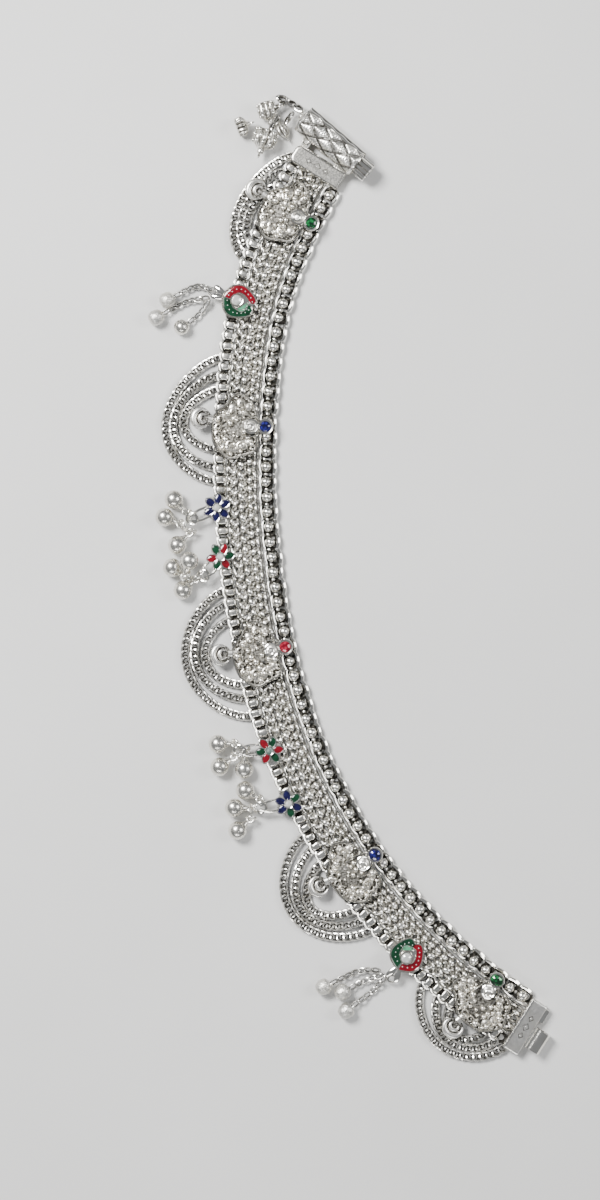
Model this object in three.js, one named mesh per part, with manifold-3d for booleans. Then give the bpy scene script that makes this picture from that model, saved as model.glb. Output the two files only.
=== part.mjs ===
// A payal: a silver anklet of flat chain mesh, lying open on a surface with its clasp undone.
// Millimetres, +Z up. The band curves away from the clasp socket to the tongue in three tangent arcs.
// A place on it is given as s, the distance along the band from the socket, and u, the distance
// across it: u is 0 on the centreline and grows towards the outer edge, where the charms hang.
import * as THREE from "three";
import { mergeVertices } from "three/addons/utils/BufferGeometryUtils.js";
import Module from "manifold-3d";

const wasm = await Module();
wasm.setup();

// ---- driving dimensions ----
const GAP = 0.3;                       // clearance between neighbouring pieces
const BAND_START = { x: -9.14, y: 105.95, heading: -122.4 };
const BAND_ARCS = [
  { length: 51, turn: 25.5 },
  { length: 87, turn: 21.6 },
  { length: 113, turn: 42.8 },
];
const BAND_LENGTH = 251;
const BAND_WIDTH = 16.4;
const BAND_STEPS = 22;
const EDGE = BAND_WIDTH / 2;

// strand: u of its middle, width across, height above the surface
const STRANDS = [
  { name: "edge_chain", u: 6.35, width: 3.7, height: 2.2 },
  { name: "mesh_strand_outer", u: 2.98, width: 2.42, height: 1.9 },
  { name: "mesh_strand_middle", u: 0.26, width: 2.42, height: 1.9 },
  { name: "mesh_strand_inner", u: -2.46, width: 2.42, height: 1.9 },
  { name: "heavy_chain", u: -6.1, width: 4.2, height: 2.6 },
];

// the end plates: both are 15 mm long across the band
const PLATE = { length: 15, middle: 0.5, height: 3.2 };
// the lug at the plate's outer corner and the strip of solder under the barrel;
// out is how far each reaches past the band's end
const LUG = { fromU: 5.2, toU: 7.2, out: 7.4, fromZ: 1.2, toZ: 3.4 };
const SOLDER = { fromU: -5.5, toU: 0.5, out: 5.6, fromZ: 1.0, toZ: 3.0 };
const LAP = 0.4;                       // how far one soldered piece runs into the next
const SOCKET_PLATE_DEPTH = 5;
const TONGUE_PLATE_DEPTH = 4.6;
const BORDER = { width: 0.7, rise: 0.5 };

// the clasp's barrel, from its bell end to its pin end
const BARREL = { radius: 4.1, wall: 0.6, slotWidth: 4.4, slotAngle: 38, ring: 1.6 };
const BARREL_FROM = { s: -10.1, u: 10.8 };
const BARREL_TO = { s: -9.0, u: -7.8 };
const CAP = { radius: 1.7, length: 1.4 };
const PIN = { shank: 1.35, shankLength: 14, grip: 2.75, gripLength: 3.9, inside: 1.0,
  flutes: 10, flute: 0.3 };
const KNUCKLE = { width: 5.8, radius: 2.3, wall: 0.65, middle: 1.9, out: 2.5 };
const FLANGE = { from: -6.4, to: -2.4, depth: 1.3, height: 1.6 };

// medallions: s of the middle and the colour of the stone in the collet
const MEDALLIONS = [
  { s: 11.8, stone: "green" },
  { s: 69.6, stone: "blue" },
  { s: 129.5, stone: "red" },
  { s: 191.8, stone: "blue" },
  { s: 239.8, stone: "green" },
];
const MEDALLION = { base: 2.5, thickness: 0.9, dome: 0.5 };
const COLLET = { u: -5.6, base: 2.9, height: 1.7, radius: 1.9, wall: 0.3, floor: 0.4 };
const DISC = { u: -1.9, radius: 2.3, rise: 1.5 };
const CRESCENT = { u: 11.3, ahead: -1.4, radius: 3.4, curl: 2.1, thickness: 1.0, dome: 1.6 };
const STONE = { radius: 1.25, height: 1.5 };
// outline of a medallion: a leaf with a point at the top and one at the outer foot
const LEAF = [
  { u: 8.0, v: -2.6 },
  { u: 5.2, v: -5.6 },
  { u: 2.3, v: -8.6 },
  { u: -0.8, v: -7.6 },
  { u: -2.9, v: -4.3 },
  { u: -3.6, v: 0 },
  { u: -3.4, v: 3.4 },
  { u: -3.0, v: 6.8 },
  { u: 0.2, v: 8.0 },
  { u: 4.0, v: 8.8 },
  { u: 7.6, v: 5.4 },
  { u: 8.4, v: 1.6 },
];

// hearts: the tip points outwards, turned a little from square
const HEARTS = [
  { s: 37.9, u: 5.0, turn: -10 },
  { s: 217.7, u: 4.6, turn: 11 },
];
const HEART = { long: 8.9, wide: 9.4, base: 2.5, thickness: 1.3, bail: 3.0 };
const HEART_CUP = { u: 1.0, radius: 1.6, wall: 0.3, height: 0.9 };

// flowers: ring is the place of the wire ring at the end of the bail
const FLOWERS = [
  { s: 90.8, u: 7.3, ring: { s: 93.2, u: 14.1 } },
  { s: 103.4, u: 7.4, ring: { s: 107.6, u: 12.5 } },
  { s: 154.5, u: 6.1, ring: { s: 151.9, u: 13.5 } },
  { s: 168.8, u: 7.1, ring: { s: 166.6, u: 14.2 } },
];
const FLOWER = { radius: 3.6, base: 2.5, thickness: 1.1, petals: 6, cup: 1.5, wall: 0.3, rise: 0.7 };
const BAIL = { wire: 0.4, ring: 1.3, z: 4.2 };

// ghungroo balls: place of the ball, then the place that its stem points to
const BALL = { radius: 2.45, stem: 1.3, loop: 0.75, wire: 0.28 };
const BALLS = [
  { s: 88.2, u: 18.6, z: 2.45, toS: 92.0, toU: 15.0 },
  { s: 92.4, u: 21.3, z: 2.45, toS: 94.5, toU: 17.0 },
  { s: 99.4, u: 18.5, z: 2.45, toS: 96.6, toU: 14.8 },
  { s: 104.7, u: 20.4, z: 2.45, toS: 107.2, toU: 17.2 },
  { s: 103.6, u: 15.6, z: 5.2, toS: 106.4, toU: 17.0 },
  { s: 110.5, u: 18.4, z: 2.45, toS: 108.4, toU: 14.7 },
  { s: 148.7, u: 18.4, z: 2.45, toS: 150.0, toU: 14.1 },
  { s: 153.9, u: 20.0, z: 2.45, toS: 152.9, toU: 15.1 },
  { s: 156.6, u: 14.2, z: 2.45, toS: 152.8, toU: 12.2 },
  { s: 161.3, u: 16.1, z: 2.45, toS: 164.8, toU: 13.6 },
  { s: 164.0, u: 20.6, z: 2.45, toS: 166.0, toU: 16.4 },
  { s: 169.1, u: 22.4, z: 2.45, toS: 168.1, toU: 18.1 },
];

// drops: where the fine chain leaves the heart, where it ends, and the bead there
const DROP = { chain: 0.75, chainSides: 8, bead: 2.1 };
const DROPS = [
  { s: 36.4, u: 13.2, midS: 36.2, midU: 17.6, beadS: 41.0, beadU: 24.0 },
  { s: 38.7, u: 14.3, midS: 42.0, midU: 19.4, beadS: 46.2, beadU: 26.0 },
  { s: 40.6, u: 12.6, midS: 43.6, midU: 14.6, beadS: 47.4, beadU: 18.8 },
  { s: 214.7, u: 12.9, midS: 211.8, midU: 17.0, beadS: 208.8, beadU: 27.2 },
  { s: 217.0, u: 13.8, midS: 215.0, midU: 18.0, beadS: 213.2, beadU: 24.0 },
  { s: 219.2, u: 13.2, midS: 218.9, midU: 18.0, beadS: 217.8, beadU: 27.2 },
];

// swags: middle of the arch along the band, half its span, and how far it stands out from the edge
const SWAGS = [
  { s: 13.6, span: 12.6, depth: 6.4, skew: 0.1 },
  { s: 68.3, span: 16.1, depth: 13.1, skew: 0.12 },
  { s: 128.4, span: 16.6, depth: 13.1, skew: 0.02 },
  { s: 192.4, span: 14.7, depth: 13.4, skew: 0 },
  { s: 238.8, span: 13.2, depth: 9.3, skew: 0 },
];
const SWAG = { chain: 0.95, pitch: 1.86, fullness: 0.75, sides: 8, steps: 8 };

// bells at the end of the barrel: widths and lengths differ
const BELLS = [
  { s: -0.9, u: 22.9, radius: 2.6, length: 3.8, turn: 200 },
  { s: -6.3, u: 19.4, radius: 2.4, length: 6.2, turn: 105 },
  { s: -0.3, u: 16.0, radius: 3.1, length: 6.6, turn: 70 },
  { s: -5.3, u: 13.9, radius: 1.65, length: 4.8, turn: 120 },
];
const BELL_CHAIN = { radius: 1.05, from: { s: -10.7, u: 19.9 }, to: { s: -11.6, u: 13.2 } };

// ---- materials ----
const silver = (name, color, roughness) =>
  new THREE.MeshStandardMaterial({ name, color, roughness, metalness: 1 });
const gem = (name, color) => new THREE.MeshStandardMaterial({ name, color, roughness: 0.08, metalness: 0 });
const CHAIN_SILVER = silver("chain silver", 0xcfcabb, 0.32);
const PLATE_SILVER = silver("plate silver", 0xdedacd, 0.26);
const BALL_SILVER = silver("ball silver", 0xc4c0b2, 0.36);
const ENAMEL = new THREE.MeshStandardMaterial({ name: "enamel", color: 0xa0182a, roughness: 0.2 });
const GEMS = {
  green: gem("green glass", 0x0f6a37),
  blue: gem("blue glass", 0x14165e),
  red: gem("red glass", 0xb01430),
  clear: gem("clear glass", 0xe6e6e2),
};

// ---- solids ----
const radians = THREE.MathUtils.degToRad;

function toSolid(geometry) {
  const bare = geometry.clone();
  bare.deleteAttribute("normal");
  bare.deleteAttribute("uv");
  const merged = mergeVertices(bare, 1e-4);
  return new wasm.Manifold(new wasm.Mesh({
    numProp: 3,
    vertProperties: Float32Array.from(merged.attributes.position.array),
    triVerts: Uint32Array.from(merged.index.array),
  }));
}

function fromSolid(solid) {
  const mesh = solid.getMesh();
  const geometry = new THREE.BufferGeometry();
  geometry.setAttribute("position", new THREE.BufferAttribute(Float32Array.from(mesh.vertProperties), 3));
  geometry.setIndex(new THREE.BufferAttribute(Uint32Array.from(mesh.triVerts), 1));
  geometry.computeVertexNormals();
  return geometry;
}

const joined = (geometries) =>
  fromSolid(geometries.map(toSolid).reduce((whole, next) => whole.add(next)));

const cut = (geometry, tool) => fromSolid(toSolid(geometry).subtract(toSolid(tool)));

function block(fromU, toU, fromV, toV, fromZ, toZ) {
  const box = new THREE.BoxGeometry(toU - fromU, toV - fromV, toZ - fromZ);
  return box.translate((fromU + toU) / 2, (fromV + toV) / 2, (fromZ + toZ) / 2);
}

function slab(outline, base, thickness, curveSegments = 6) {
  const shape = outline instanceof THREE.Shape ? outline : new THREE.Shape(outline);
  const options = { depth: thickness, bevelEnabled: false, curveSegments };
  return new THREE.ExtrudeGeometry(shape, options).translate(0, 0, base);
}

// A solid of revolution standing on z = 0; its profile is a list of [radius, height]
function turned(profile, sides) {
  const points = profile.map(([radius, height]) => new THREE.Vector2(radius, height));
  return new THREE.LatheGeometry(points, sides).rotateX(Math.PI / 2);
}

function cup(radius, wall, height, floor, sides) {
  const inner = radius - wall;
  const outside = [[0, 0], [radius, 0], [radius, height]];
  return turned([...outside, [inner, height], [inner, floor], [0, floor]], sides);
}

function domed(radius, wallHeight, rise, sides) {
  return turned([[0, 0], [radius, 0], [radius, wallHeight], [radius * 0.6, wallHeight + rise * 0.75],
    [0, wallHeight + rise]], sides);
}

function ovalShape(halfHeight, halfWidth, sides) {
  const points = [];
  for (let i = 0; i < sides; i += 1) {
    const angle = (2 * Math.PI * (i + 0.5)) / sides;
    const reach = 1 / Math.cos(Math.PI / sides);
    points.push(new THREE.Vector2(
      halfHeight * reach * Math.cos(angle), halfWidth * reach * Math.sin(angle)));
  }
  return new THREE.Shape(points);
}

function tubeAlong(curve, halfHeight, halfWidth, sides, steps) {
  return new THREE.ExtrudeGeometry(ovalShape(halfHeight, halfWidth, sides), { extrudePath: curve, steps });
}

const smooth = (points) => new THREE.CatmullRomCurve3(points, false, "centripetal");

// ---- places on the band ----
function bandPlace(s) {
  let { x, y } = BAND_START;
  let heading = radians(BAND_START.heading);
  let left = s;
  for (const [i, arc] of BAND_ARCS.entries()) {
    const last = i === BAND_ARCS.length - 1;
    const run = last ? left : Math.min(left, arc.length);
    const radius = arc.length / radians(arc.turn);
    const end = heading + run / radius;
    x += radius * (Math.sin(end) - Math.sin(heading));
    y -= radius * (Math.cos(end) - Math.cos(heading));
    heading = end;
    left -= run;
    if (left <= 0) break;
  }
  return { x, y, heading };
}

function bandPoint(s, u, z = 0) {
  const { x, y, heading } = bandPlace(s);
  return new THREE.Vector3(x + u * Math.sin(heading), y - u * Math.cos(heading), z);
}

// A group at s whose +X points outwards, +Y along the band towards the tongue
function station(s) {
  const { x, y, heading } = bandPlace(s);
  const group = new THREE.Group();
  group.position.set(x, y, 0);
  group.rotation.z = heading - Math.PI / 2;
  return group;
}

class StrandLine extends THREE.Curve {
  constructor(u, z) {
    super();
    this.u = u;
    this.z = z;
  }

  getPoint(t) {
    return bandPoint(GAP + t * (BAND_LENGTH - 2 * GAP), this.u, this.z);
  }
}

function mesh(name, geometry, material) {
  const piece = new THREE.Mesh(geometry, material);
  piece.name = name;
  return piece;
}

// ---- the band ----
function strand({ name, u, width, height }) {
  const line = new StrandLine(u, height / 2);
  return mesh(name, tubeAlong(line, height / 2, width / 2, 8, BAND_STEPS), CHAIN_SILVER);
}

// ---- the clasp ----
function endPlate(depth, roundEnd) {
  const from = PLATE.middle - PLATE.length / 2;
  const to = PLATE.middle + PLATE.length / 2;
  const round = depth * 0.42;
  const outline = new THREE.Shape();
  outline.moveTo(from, 0);
  outline.lineTo(roundEnd ? to - round : to, 0);
  if (roundEnd) outline.absarc(to - round, round, round, -Math.PI / 2, 0);
  outline.lineTo(to, roundEnd ? depth - round : depth);
  if (roundEnd) outline.absarc(to - round, depth - round, round, 0, Math.PI / 2);
  outline.lineTo(from, depth);
  return slab(outline, 0, PLATE.height, 4);
}

function barrelAxis() {
  const from = bandPoint(BARREL_FROM.s, BARREL_FROM.u, BARREL.radius);
  const to = bandPoint(BARREL_TO.s, BARREL_TO.u, BARREL.radius);
  return { from, to, length: from.distanceTo(to), angle: Math.atan2(to.y - from.y, to.x - from.x) };
}

// Built along +X from its bell end, with the slot on the side away from the band
function barrel(length) {
  const { radius, wall, slotWidth, slotAngle, ring } = BARREL;
  const inner = radius - wall;
  const shell = turned([[inner, 0], [radius, 0], [radius, length], [inner, length], [inner, 0]], 18);
  const cap = turned([[0, 0], [inner + 0.2, 0], [inner + 0.2, wall], [0, wall]], 18);
  const boss = domed(CAP.radius, CAP.length * 0.6, CAP.length * 0.4, 12).rotateX(Math.PI);
  const tube = joined([shell, cap, boss.translate(0, 0, wall / 2)]);
  const slot = new THREE.BoxGeometry(radius * 2, slotWidth, length - 2 * ring);
  slot.translate(radius, 0, length / 2);
  tube.rotateY(Math.PI / 2);
  slot.rotateY(Math.PI / 2).rotateX(radians(90 + slotAngle));
  return cut(tube, slot);
}

function clasp() {
  const start = station(0);
  start.updateMatrixWorld();
  const intoWorld = (geometry) => geometry.applyMatrix4(start.matrixWorld);
  const from = PLATE.middle - PLATE.length / 2;
  const plate = endPlate(SOCKET_PLATE_DEPTH, true).rotateX(Math.PI).translate(0, 0, PLATE.height);
  const border = block(from, from + PLATE.length - 2,
    -SOCKET_PLATE_DEPTH, BORDER.width - SOCKET_PLATE_DEPTH,
    PLATE.height - 0.2, PLATE.height + BORDER.rise);
  const [lug, solder] = [LUG, SOLDER].map(({ fromU, toU, out, fromZ, toZ }) =>
    block(fromU, toU, -out, LAP - SOCKET_PLATE_DEPTH, fromZ, toZ));
  const axis = barrelAxis();
  const tube = barrel(axis.length).rotateZ(axis.angle).translate(axis.from.x, axis.from.y, BARREL.radius);
  const bore = turned([[0, -0.01], [BARREL.radius - BARREL.wall, -0.01],
    [BARREL.radius - BARREL.wall, axis.length + 1], [0, axis.length + 1]], 18);
  bore.rotateY(Math.PI / 2).translate(BARREL.wall, 0, 0);
  bore.rotateZ(axis.angle).translate(axis.from.x, axis.from.y, BARREL.radius);
  const metal = cut(joined([plate, border, lug, solder].map(intoWorld)), bore);
  return mesh("clasp_socket", joined([metal, tube]), PLATE_SILVER);
}

function flutedShape() {
  const points = [];
  const count = PIN.flutes * 4;
  for (let i = 0; i < count; i += 1) {
    const radius = i % 4 < 2 ? PIN.grip : PIN.grip - PIN.flute;
    const angle = (2 * Math.PI * i) / count;
    points.push(new THREE.Vector2(radius * Math.cos(angle), radius * Math.sin(angle)));
  }
  return new THREE.Shape(points);
}

function lockPin() {
  const axis = barrelAxis();
  const grip = slab(flutedShape(), 0, PIN.gripLength + PIN.inside);
  const shank = turned([[0, 0], [PIN.shank, 0], [PIN.shank, PIN.shankLength], [0, PIN.shankLength]], 12);
  shank.translate(0, 0, 0.5 - PIN.shankLength);
  const pin = mesh("lock_pin", joined([grip, shank]).rotateY(Math.PI / 2), PLATE_SILVER);
  pin.rotation.z = axis.angle;
  pin.position.copy(axis.to).lerp(axis.from, PIN.inside / axis.length);
  return pin;
}

function knuckle() {
  const { radius, wall, width, middle, out } = KNUCKLE;
  const roll = new THREE.Shape();
  const opening = radians(150);
  const lip = opening - radians(285);
  roll.absarc(0, 0, radius, opening, lip, true);
  roll.absarc(0, 0, radius - wall, lip, opening, false);
  const sheet = slab(roll, 0, width, 10).rotateX(Math.PI / 2).rotateZ(Math.PI / 2);
  sheet.translate(middle - width / 2, out, radius);
  return sheet;
}

function tongueEnd() {
  const group = station(BAND_LENGTH);
  const from = PLATE.middle - PLATE.length / 2;
  const plate = endPlate(TONGUE_PLATE_DEPTH, false);
  const lip = block(from, from + PLATE.length, 0, BORDER.width,
    PLATE.height - 0.2, PLATE.height + BORDER.rise);
  const flange = block(FLANGE.from, FLANGE.to, TONGUE_PLATE_DEPTH - 0.3, TONGUE_PLATE_DEPTH + FLANGE.depth,
    0, FLANGE.height);
  const half = KNUCKLE.width / 2;
  const strap = block(KNUCKLE.middle - half, KNUCKLE.middle + half, TONGUE_PLATE_DEPTH - 0.3,
    TONGUE_PLATE_DEPTH + 1.1, 2.4, 3.4);
  const roll = knuckle().translate(0, TONGUE_PLATE_DEPTH, 0);
  group.add(mesh("tongue_end_plate", joined([plate, lip, flange, strap, roll]), PLATE_SILVER));
  return group;
}

// ---- medallions ----
function leafOutline() {
  const corners = LEAF.map(({ u, v }) => new THREE.Vector3(u, v, 0));
  const curve = new THREE.CatmullRomCurve3(corners, true, "centripetal");
  return curve.getPoints(20).slice(0, -1).map(({ x, y }) => new THREE.Vector2(x, y));
}

function crescent() {
  const { u, ahead, radius, curl, thickness, dome } = CRESCENT;
  const rim = new THREE.Shape().absarc(0, 0, radius, 0, 2 * Math.PI);
  rim.holes.push(new THREE.Path().absarc(-0.5, 0, radius - 0.9, 0, 2 * Math.PI, true));
  const middle = domed(curl, thickness * 0.6, dome - thickness * 0.6, 10).translate(-0.9, 0, 0);
  const arm = block(-4.6, -0.9, -1.3, 1.3, 0, thickness * 0.7);
  return joined([slab(rim, 0, thickness, 7), middle, arm]).translate(u, ahead, MEDALLION.base);
}

function medallion(index, { s }) {
  const { base, thickness, dome } = MEDALLION;
  const plate = slab(leafOutline(), base, thickness);
  const raised = slab(leafOutline().map((point) => point.multiplyScalar(0.72)),
    base + thickness - 0.1, dome);
  raised.translate(0.6, 0, 0);
  const disc = domed(DISC.radius, DISC.rise * 0.6, DISC.rise * 0.4, 10).translate(DISC.u, 0, base);
  const collet = cup(COLLET.radius, COLLET.wall, COLLET.height, COLLET.floor, 12);
  collet.translate(COLLET.u, 0, COLLET.base);
  const arm = block(-4.4, -2.4, -1, 1, COLLET.base, COLLET.base + 0.4);
  const group = station(s);
  const parts = [plate, raised, disc, collet, arm, crescent()];
  group.add(mesh(`medallion_${index}`, joined(parts), PLATE_SILVER));
  return group;
}

function stone(name, radius, height, color) {
  const table = radius * 0.55;
  const cutStone = turned([[0, 0], [radius, 0], [radius, height * 0.35], [table, height], [0, height]], 8);
  return mesh(name, cutStone, GEMS[color]);
}

function colletStone(index, { s, stone: color }) {
  const group = station(s);
  const piece = stone(`collet_stone_${index}`, STONE.radius, STONE.height, color);
  piece.position.set(COLLET.u, 0, COLLET.base + COLLET.floor + GAP);
  group.add(piece);
  return group;
}

// ---- hearts ----
// The tip is at +X; the notch between the lobes is at -X
function heartOutline() {
  const { long, wide } = HEART;
  const tip = long * 0.52;
  const shape = new THREE.Shape();
  shape.moveTo(tip, 0);
  shape.bezierCurveTo(tip * 0.5, wide * 0.28, tip * 0.1, wide * 0.5, -long * 0.18, wide * 0.5);
  shape.bezierCurveTo(-long * 0.62, wide * 0.48, -long * 0.56, wide * 0.04, -long * 0.3, 0);
  shape.bezierCurveTo(-long * 0.56, -wide * 0.04, -long * 0.62, -wide * 0.48, -long * 0.18, -wide * 0.5);
  shape.bezierCurveTo(tip * 0.1, -wide * 0.5, tip * 0.5, -wide * 0.28, tip, 0);
  return shape;
}

function heart(index, { s, u, turn }) {
  const { base, thickness, long, bail } = HEART;
  const plate = slab(heartOutline(), base, thickness, 8);
  const bezel = cup(HEART_CUP.radius, HEART_CUP.wall, HEART_CUP.height + 0.1, 0.1, 12);
  bezel.translate(HEART_CUP.u, 0, base + thickness - 0.1);
  const fold = block(long * 0.4, long * 0.4 + bail, -1.1, 1.1, base, base + 0.8);
  const group = station(s);
  const piece = mesh(`heart_${index}`, joined([plate, bezel, fold]), ENAMEL);
  piece.position.x = u;
  piece.rotation.z = radians(turn);
  const gemstone = stone(`heart_stone_${index}`, HEART_CUP.radius - HEART_CUP.wall - GAP, 1.0, "clear");
  const setting = new THREE.Group();
  setting.position.x = u;
  setting.rotation.z = radians(turn);
  gemstone.position.set(HEART_CUP.u, 0, base + thickness + GAP);
  setting.add(gemstone);
  group.add(piece, setting);
  return group;
}

// ---- flowers ----
function petalOutline() {
  const points = [];
  const count = FLOWER.petals * 4;
  for (let i = 0; i < count; i += 1) {
    const angle = (2 * Math.PI * i) / count;
    const radius = FLOWER.radius * (0.66 + 0.34 * Math.abs(Math.cos((FLOWER.petals * angle) / 2)));
    points.push(new THREE.Vector2(radius * Math.cos(angle), radius * Math.sin(angle)));
  }
  return points;
}

function ringOf(radius, wire) {
  return new THREE.TorusGeometry(radius, wire, 4, 8);
}

function flower(index, { s, u, ring }) {
  const group = station(s);
  group.updateMatrixWorld();
  const hook = group.worldToLocal(bandPoint(ring.s, ring.u, BAIL.z)).sub(new THREE.Vector3(u, 0, 0));
  const outline = slab(petalOutline(), FLOWER.base, FLOWER.thickness);
  const bezel = cup(FLOWER.cup, FLOWER.wall, FLOWER.rise + 0.1, 0.1, 10);
  bezel.translate(0, 0, FLOWER.base + FLOWER.thickness - 0.1);
  const along = hook.clone().setZ(0).normalize();
  const side = new THREE.Vector3(-along.y, along.x, 0);
  const wires = [-1, 1].map((hand) => {
    const root = along.clone().multiplyScalar(2.2).addScaledVector(side, hand * 1.3)
      .setZ(FLOWER.base + 0.3);
    const end = hook.clone().addScaledVector(along, -BAIL.ring).addScaledVector(side, hand * 0.35);
    const middle = root.clone().lerp(end, 0.6).addScaledVector(side, hand * 0.25);
    return tubeAlong(smooth([root, middle, end]), BAIL.wire, BAIL.wire, 6, 3);
  });
  const loop = ringOf(BAIL.ring, BAIL.wire).translate(hook.x, hook.y, hook.z);
  const piece = mesh(`flower_${index}`, joined([outline, bezel, ...wires, loop]), ENAMEL);
  piece.position.x = u;
  const gemstone = stone(`flower_stone_${index}`, FLOWER.cup - FLOWER.wall - GAP, 0.9, "clear");
  gemstone.position.set(u, 0, FLOWER.base + FLOWER.thickness + GAP);
  group.add(piece, gemstone);
  return group;
}

// ---- ghungroo balls ----
function ball(index, { s, u, z, toS, toU }) {
  const { radius, stem, loop, wire } = BALL;
  const profile = [[0, -radius]];
  for (let angle = -55; angle <= 70; angle += 40) {
    profile.push([radius * Math.cos(radians(angle)), radius * Math.sin(radians(angle))]);
  }
  profile.push([0.75, radius + stem * 0.5], [0.5, radius + stem], [0, radius + stem]);
  const body = turned(profile, 9).rotateY(Math.PI / 2);
  const eye = ringOf(loop, wire).translate(radius + stem + loop - 0.1, 0, 0);
  const piece = mesh(`ball_${index}`, joined([body, eye]), BALL_SILVER);
  const from = bandPoint(s, u, z);
  const to = bandPoint(toS, toU, 0);
  piece.position.copy(from);
  piece.rotation.z = Math.atan2(to.y - from.y, to.x - from.x);
  return piece;
}

// ---- drops: a fine chain and its bead ----
function drop(index, { s, u, midS, midU, beadS, beadU }) {
  const { chain, chainSides, bead } = DROP;
  const centre = bandPoint(beadS, beadU, bead);
  const line = smooth([bandPoint(s, u, 2.4), bandPoint(midS, midU, chain + 0.3), centre]);
  const tube = tubeAlong(line, chain, chain, chainSides, 6);
  const head = new THREE.SphereGeometry(bead, 10, 6).translate(centre.x, centre.y, centre.z);
  return mesh(`drop_${index}`, joined([tube, head]), CHAIN_SILVER);
}

// ---- swags: three nested curb chains, lying against each other at the middle of the arch ----
class SwagLine extends THREE.Curve {
  constructor(swag, row) {
    super();
    this.swag = swag;
    this.row = row;
  }

  getPoint(t) {
    const { s, span, depth, skew } = this.swag;
    const across = 2 * t - 1;
    const leaned = across - skew * (1 - across * across);
    const rise = Math.max(0, 1 - leaned * leaned) ** SWAG.fullness;
    const half = span * (1 - 0.23 * this.row);
    const reach = depth - SWAG.pitch * this.row - SWAG.chain - GAP;
    return bandPoint(s + across * half, EDGE + GAP + SWAG.chain + (reach - SWAG.chain) * rise, SWAG.chain);
  }
}

function swag(index, spec) {
  const rows = [0, 1, 2].map((row) =>
    tubeAlong(new SwagLine(spec, row), SWAG.chain, SWAG.chain, SWAG.sides, SWAG.steps));
  return mesh(`swag_${index}`, joined(rows), CHAIN_SILVER);
}

// ---- bells at the barrel's end ----
function bell(index, { s, u, radius, length, turn }) {
  const profile = [[0, 0], [0.5, 0], [0.6, length * 0.18], [radius * 0.7, length * 0.3],
    [radius, length * 0.58], [radius * 0.92, length * 0.85], [radius * 0.5, length], [0, length]];
  const body = turned(profile, 9).translate(0, 0, -length / 2).rotateY(Math.PI / 2);
  const piece = mesh(`bell_${index}`, body, BALL_SILVER);
  piece.position.copy(bandPoint(s, u, radius));
  piece.rotation.z = radians(turn);
  return piece;
}

function bellChain() {
  const { radius, from, to } = BELL_CHAIN;
  const start = bandPoint(from.s, from.u, radius);
  const end = bandPoint(to.s, to.u, radius + 1.6);
  const middle = start.clone().lerp(end, 0.5).setZ(radius + 0.4);
  const line = smooth([start, middle, end]);
  return mesh("bell_chain", tubeAlong(line, radius, radius, 8, 5), CHAIN_SILVER);
}

// ---- the anklet ----
const anklet = new THREE.Group();
anklet.name = "payal_anklet";
anklet.add(clasp(), lockPin(), tongueEnd());
for (const spec of STRANDS) anklet.add(strand(spec));
MEDALLIONS.forEach((spec, i) => anklet.add(medallion(i + 1, spec), colletStone(i + 1, spec)));
HEARTS.forEach((spec, i) => anklet.add(heart(i + 1, spec)));
FLOWERS.forEach((spec, i) => anklet.add(flower(i + 1, spec)));
BALLS.forEach((spec, i) => anklet.add(ball(i + 1, spec)));
DROPS.forEach((spec, i) => anklet.add(drop(i + 1, spec)));
SWAGS.forEach((spec, i) => anklet.add(swag(i + 1, spec)));
anklet.add(bellChain());
BELLS.forEach((spec, i) => anklet.add(bell(i + 1, spec)));

export default anklet;
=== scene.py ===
"""Looks of the payal anklet: every chain, plate, stone and bell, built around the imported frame.

Lengths in this script are millimetres until a mesh is made. A place on the band is (s, u): s runs
along it from the clasp socket and u across it, growing towards the edge where the charms hang.
"""
import math

import bpy
import numpy as np
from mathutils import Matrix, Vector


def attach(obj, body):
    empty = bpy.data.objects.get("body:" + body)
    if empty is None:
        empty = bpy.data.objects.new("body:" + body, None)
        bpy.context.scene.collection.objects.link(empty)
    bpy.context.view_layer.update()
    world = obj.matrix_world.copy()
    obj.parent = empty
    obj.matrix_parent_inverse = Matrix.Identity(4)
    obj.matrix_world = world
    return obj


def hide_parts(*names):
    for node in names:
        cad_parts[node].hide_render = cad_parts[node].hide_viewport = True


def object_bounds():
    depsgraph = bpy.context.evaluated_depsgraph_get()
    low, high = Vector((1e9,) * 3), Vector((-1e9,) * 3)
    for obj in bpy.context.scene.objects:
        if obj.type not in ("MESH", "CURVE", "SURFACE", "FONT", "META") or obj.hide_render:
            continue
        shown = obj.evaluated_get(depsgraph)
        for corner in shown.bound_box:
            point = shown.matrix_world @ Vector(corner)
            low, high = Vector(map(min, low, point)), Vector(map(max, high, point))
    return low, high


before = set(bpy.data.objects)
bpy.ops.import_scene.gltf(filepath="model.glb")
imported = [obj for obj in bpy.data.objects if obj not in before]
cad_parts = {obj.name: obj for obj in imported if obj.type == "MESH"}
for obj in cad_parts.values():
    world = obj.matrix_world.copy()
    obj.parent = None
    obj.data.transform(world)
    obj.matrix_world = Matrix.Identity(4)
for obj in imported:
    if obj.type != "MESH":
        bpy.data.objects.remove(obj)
cad_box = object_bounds()

MM = 0.001
ROOT = "anklet"
rng = np.random.default_rng(7)

# ---- driving dimensions, the same as the frame's ----
BAND_START = (-9.14, 105.95, math.radians(-122.4))
BAND_ARCS = [(51, 25.5), (87, 21.6), (113, 42.8)]      # length, turn in degrees
BAND_LENGTH = 251.0
EDGE = 8.2
MEDALLION_S = [11.8, 69.6, 129.5, 191.8, 239.8]
HEARTS = [(37.9, 5.0, -10), (217.7, 4.6, 11)]          # s, u, turn
FLOWERS = [(90.8, 7.3), (103.4, 7.4), (154.5, 6.1), (168.8, 7.1)]
BALL_R = 2.45

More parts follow.
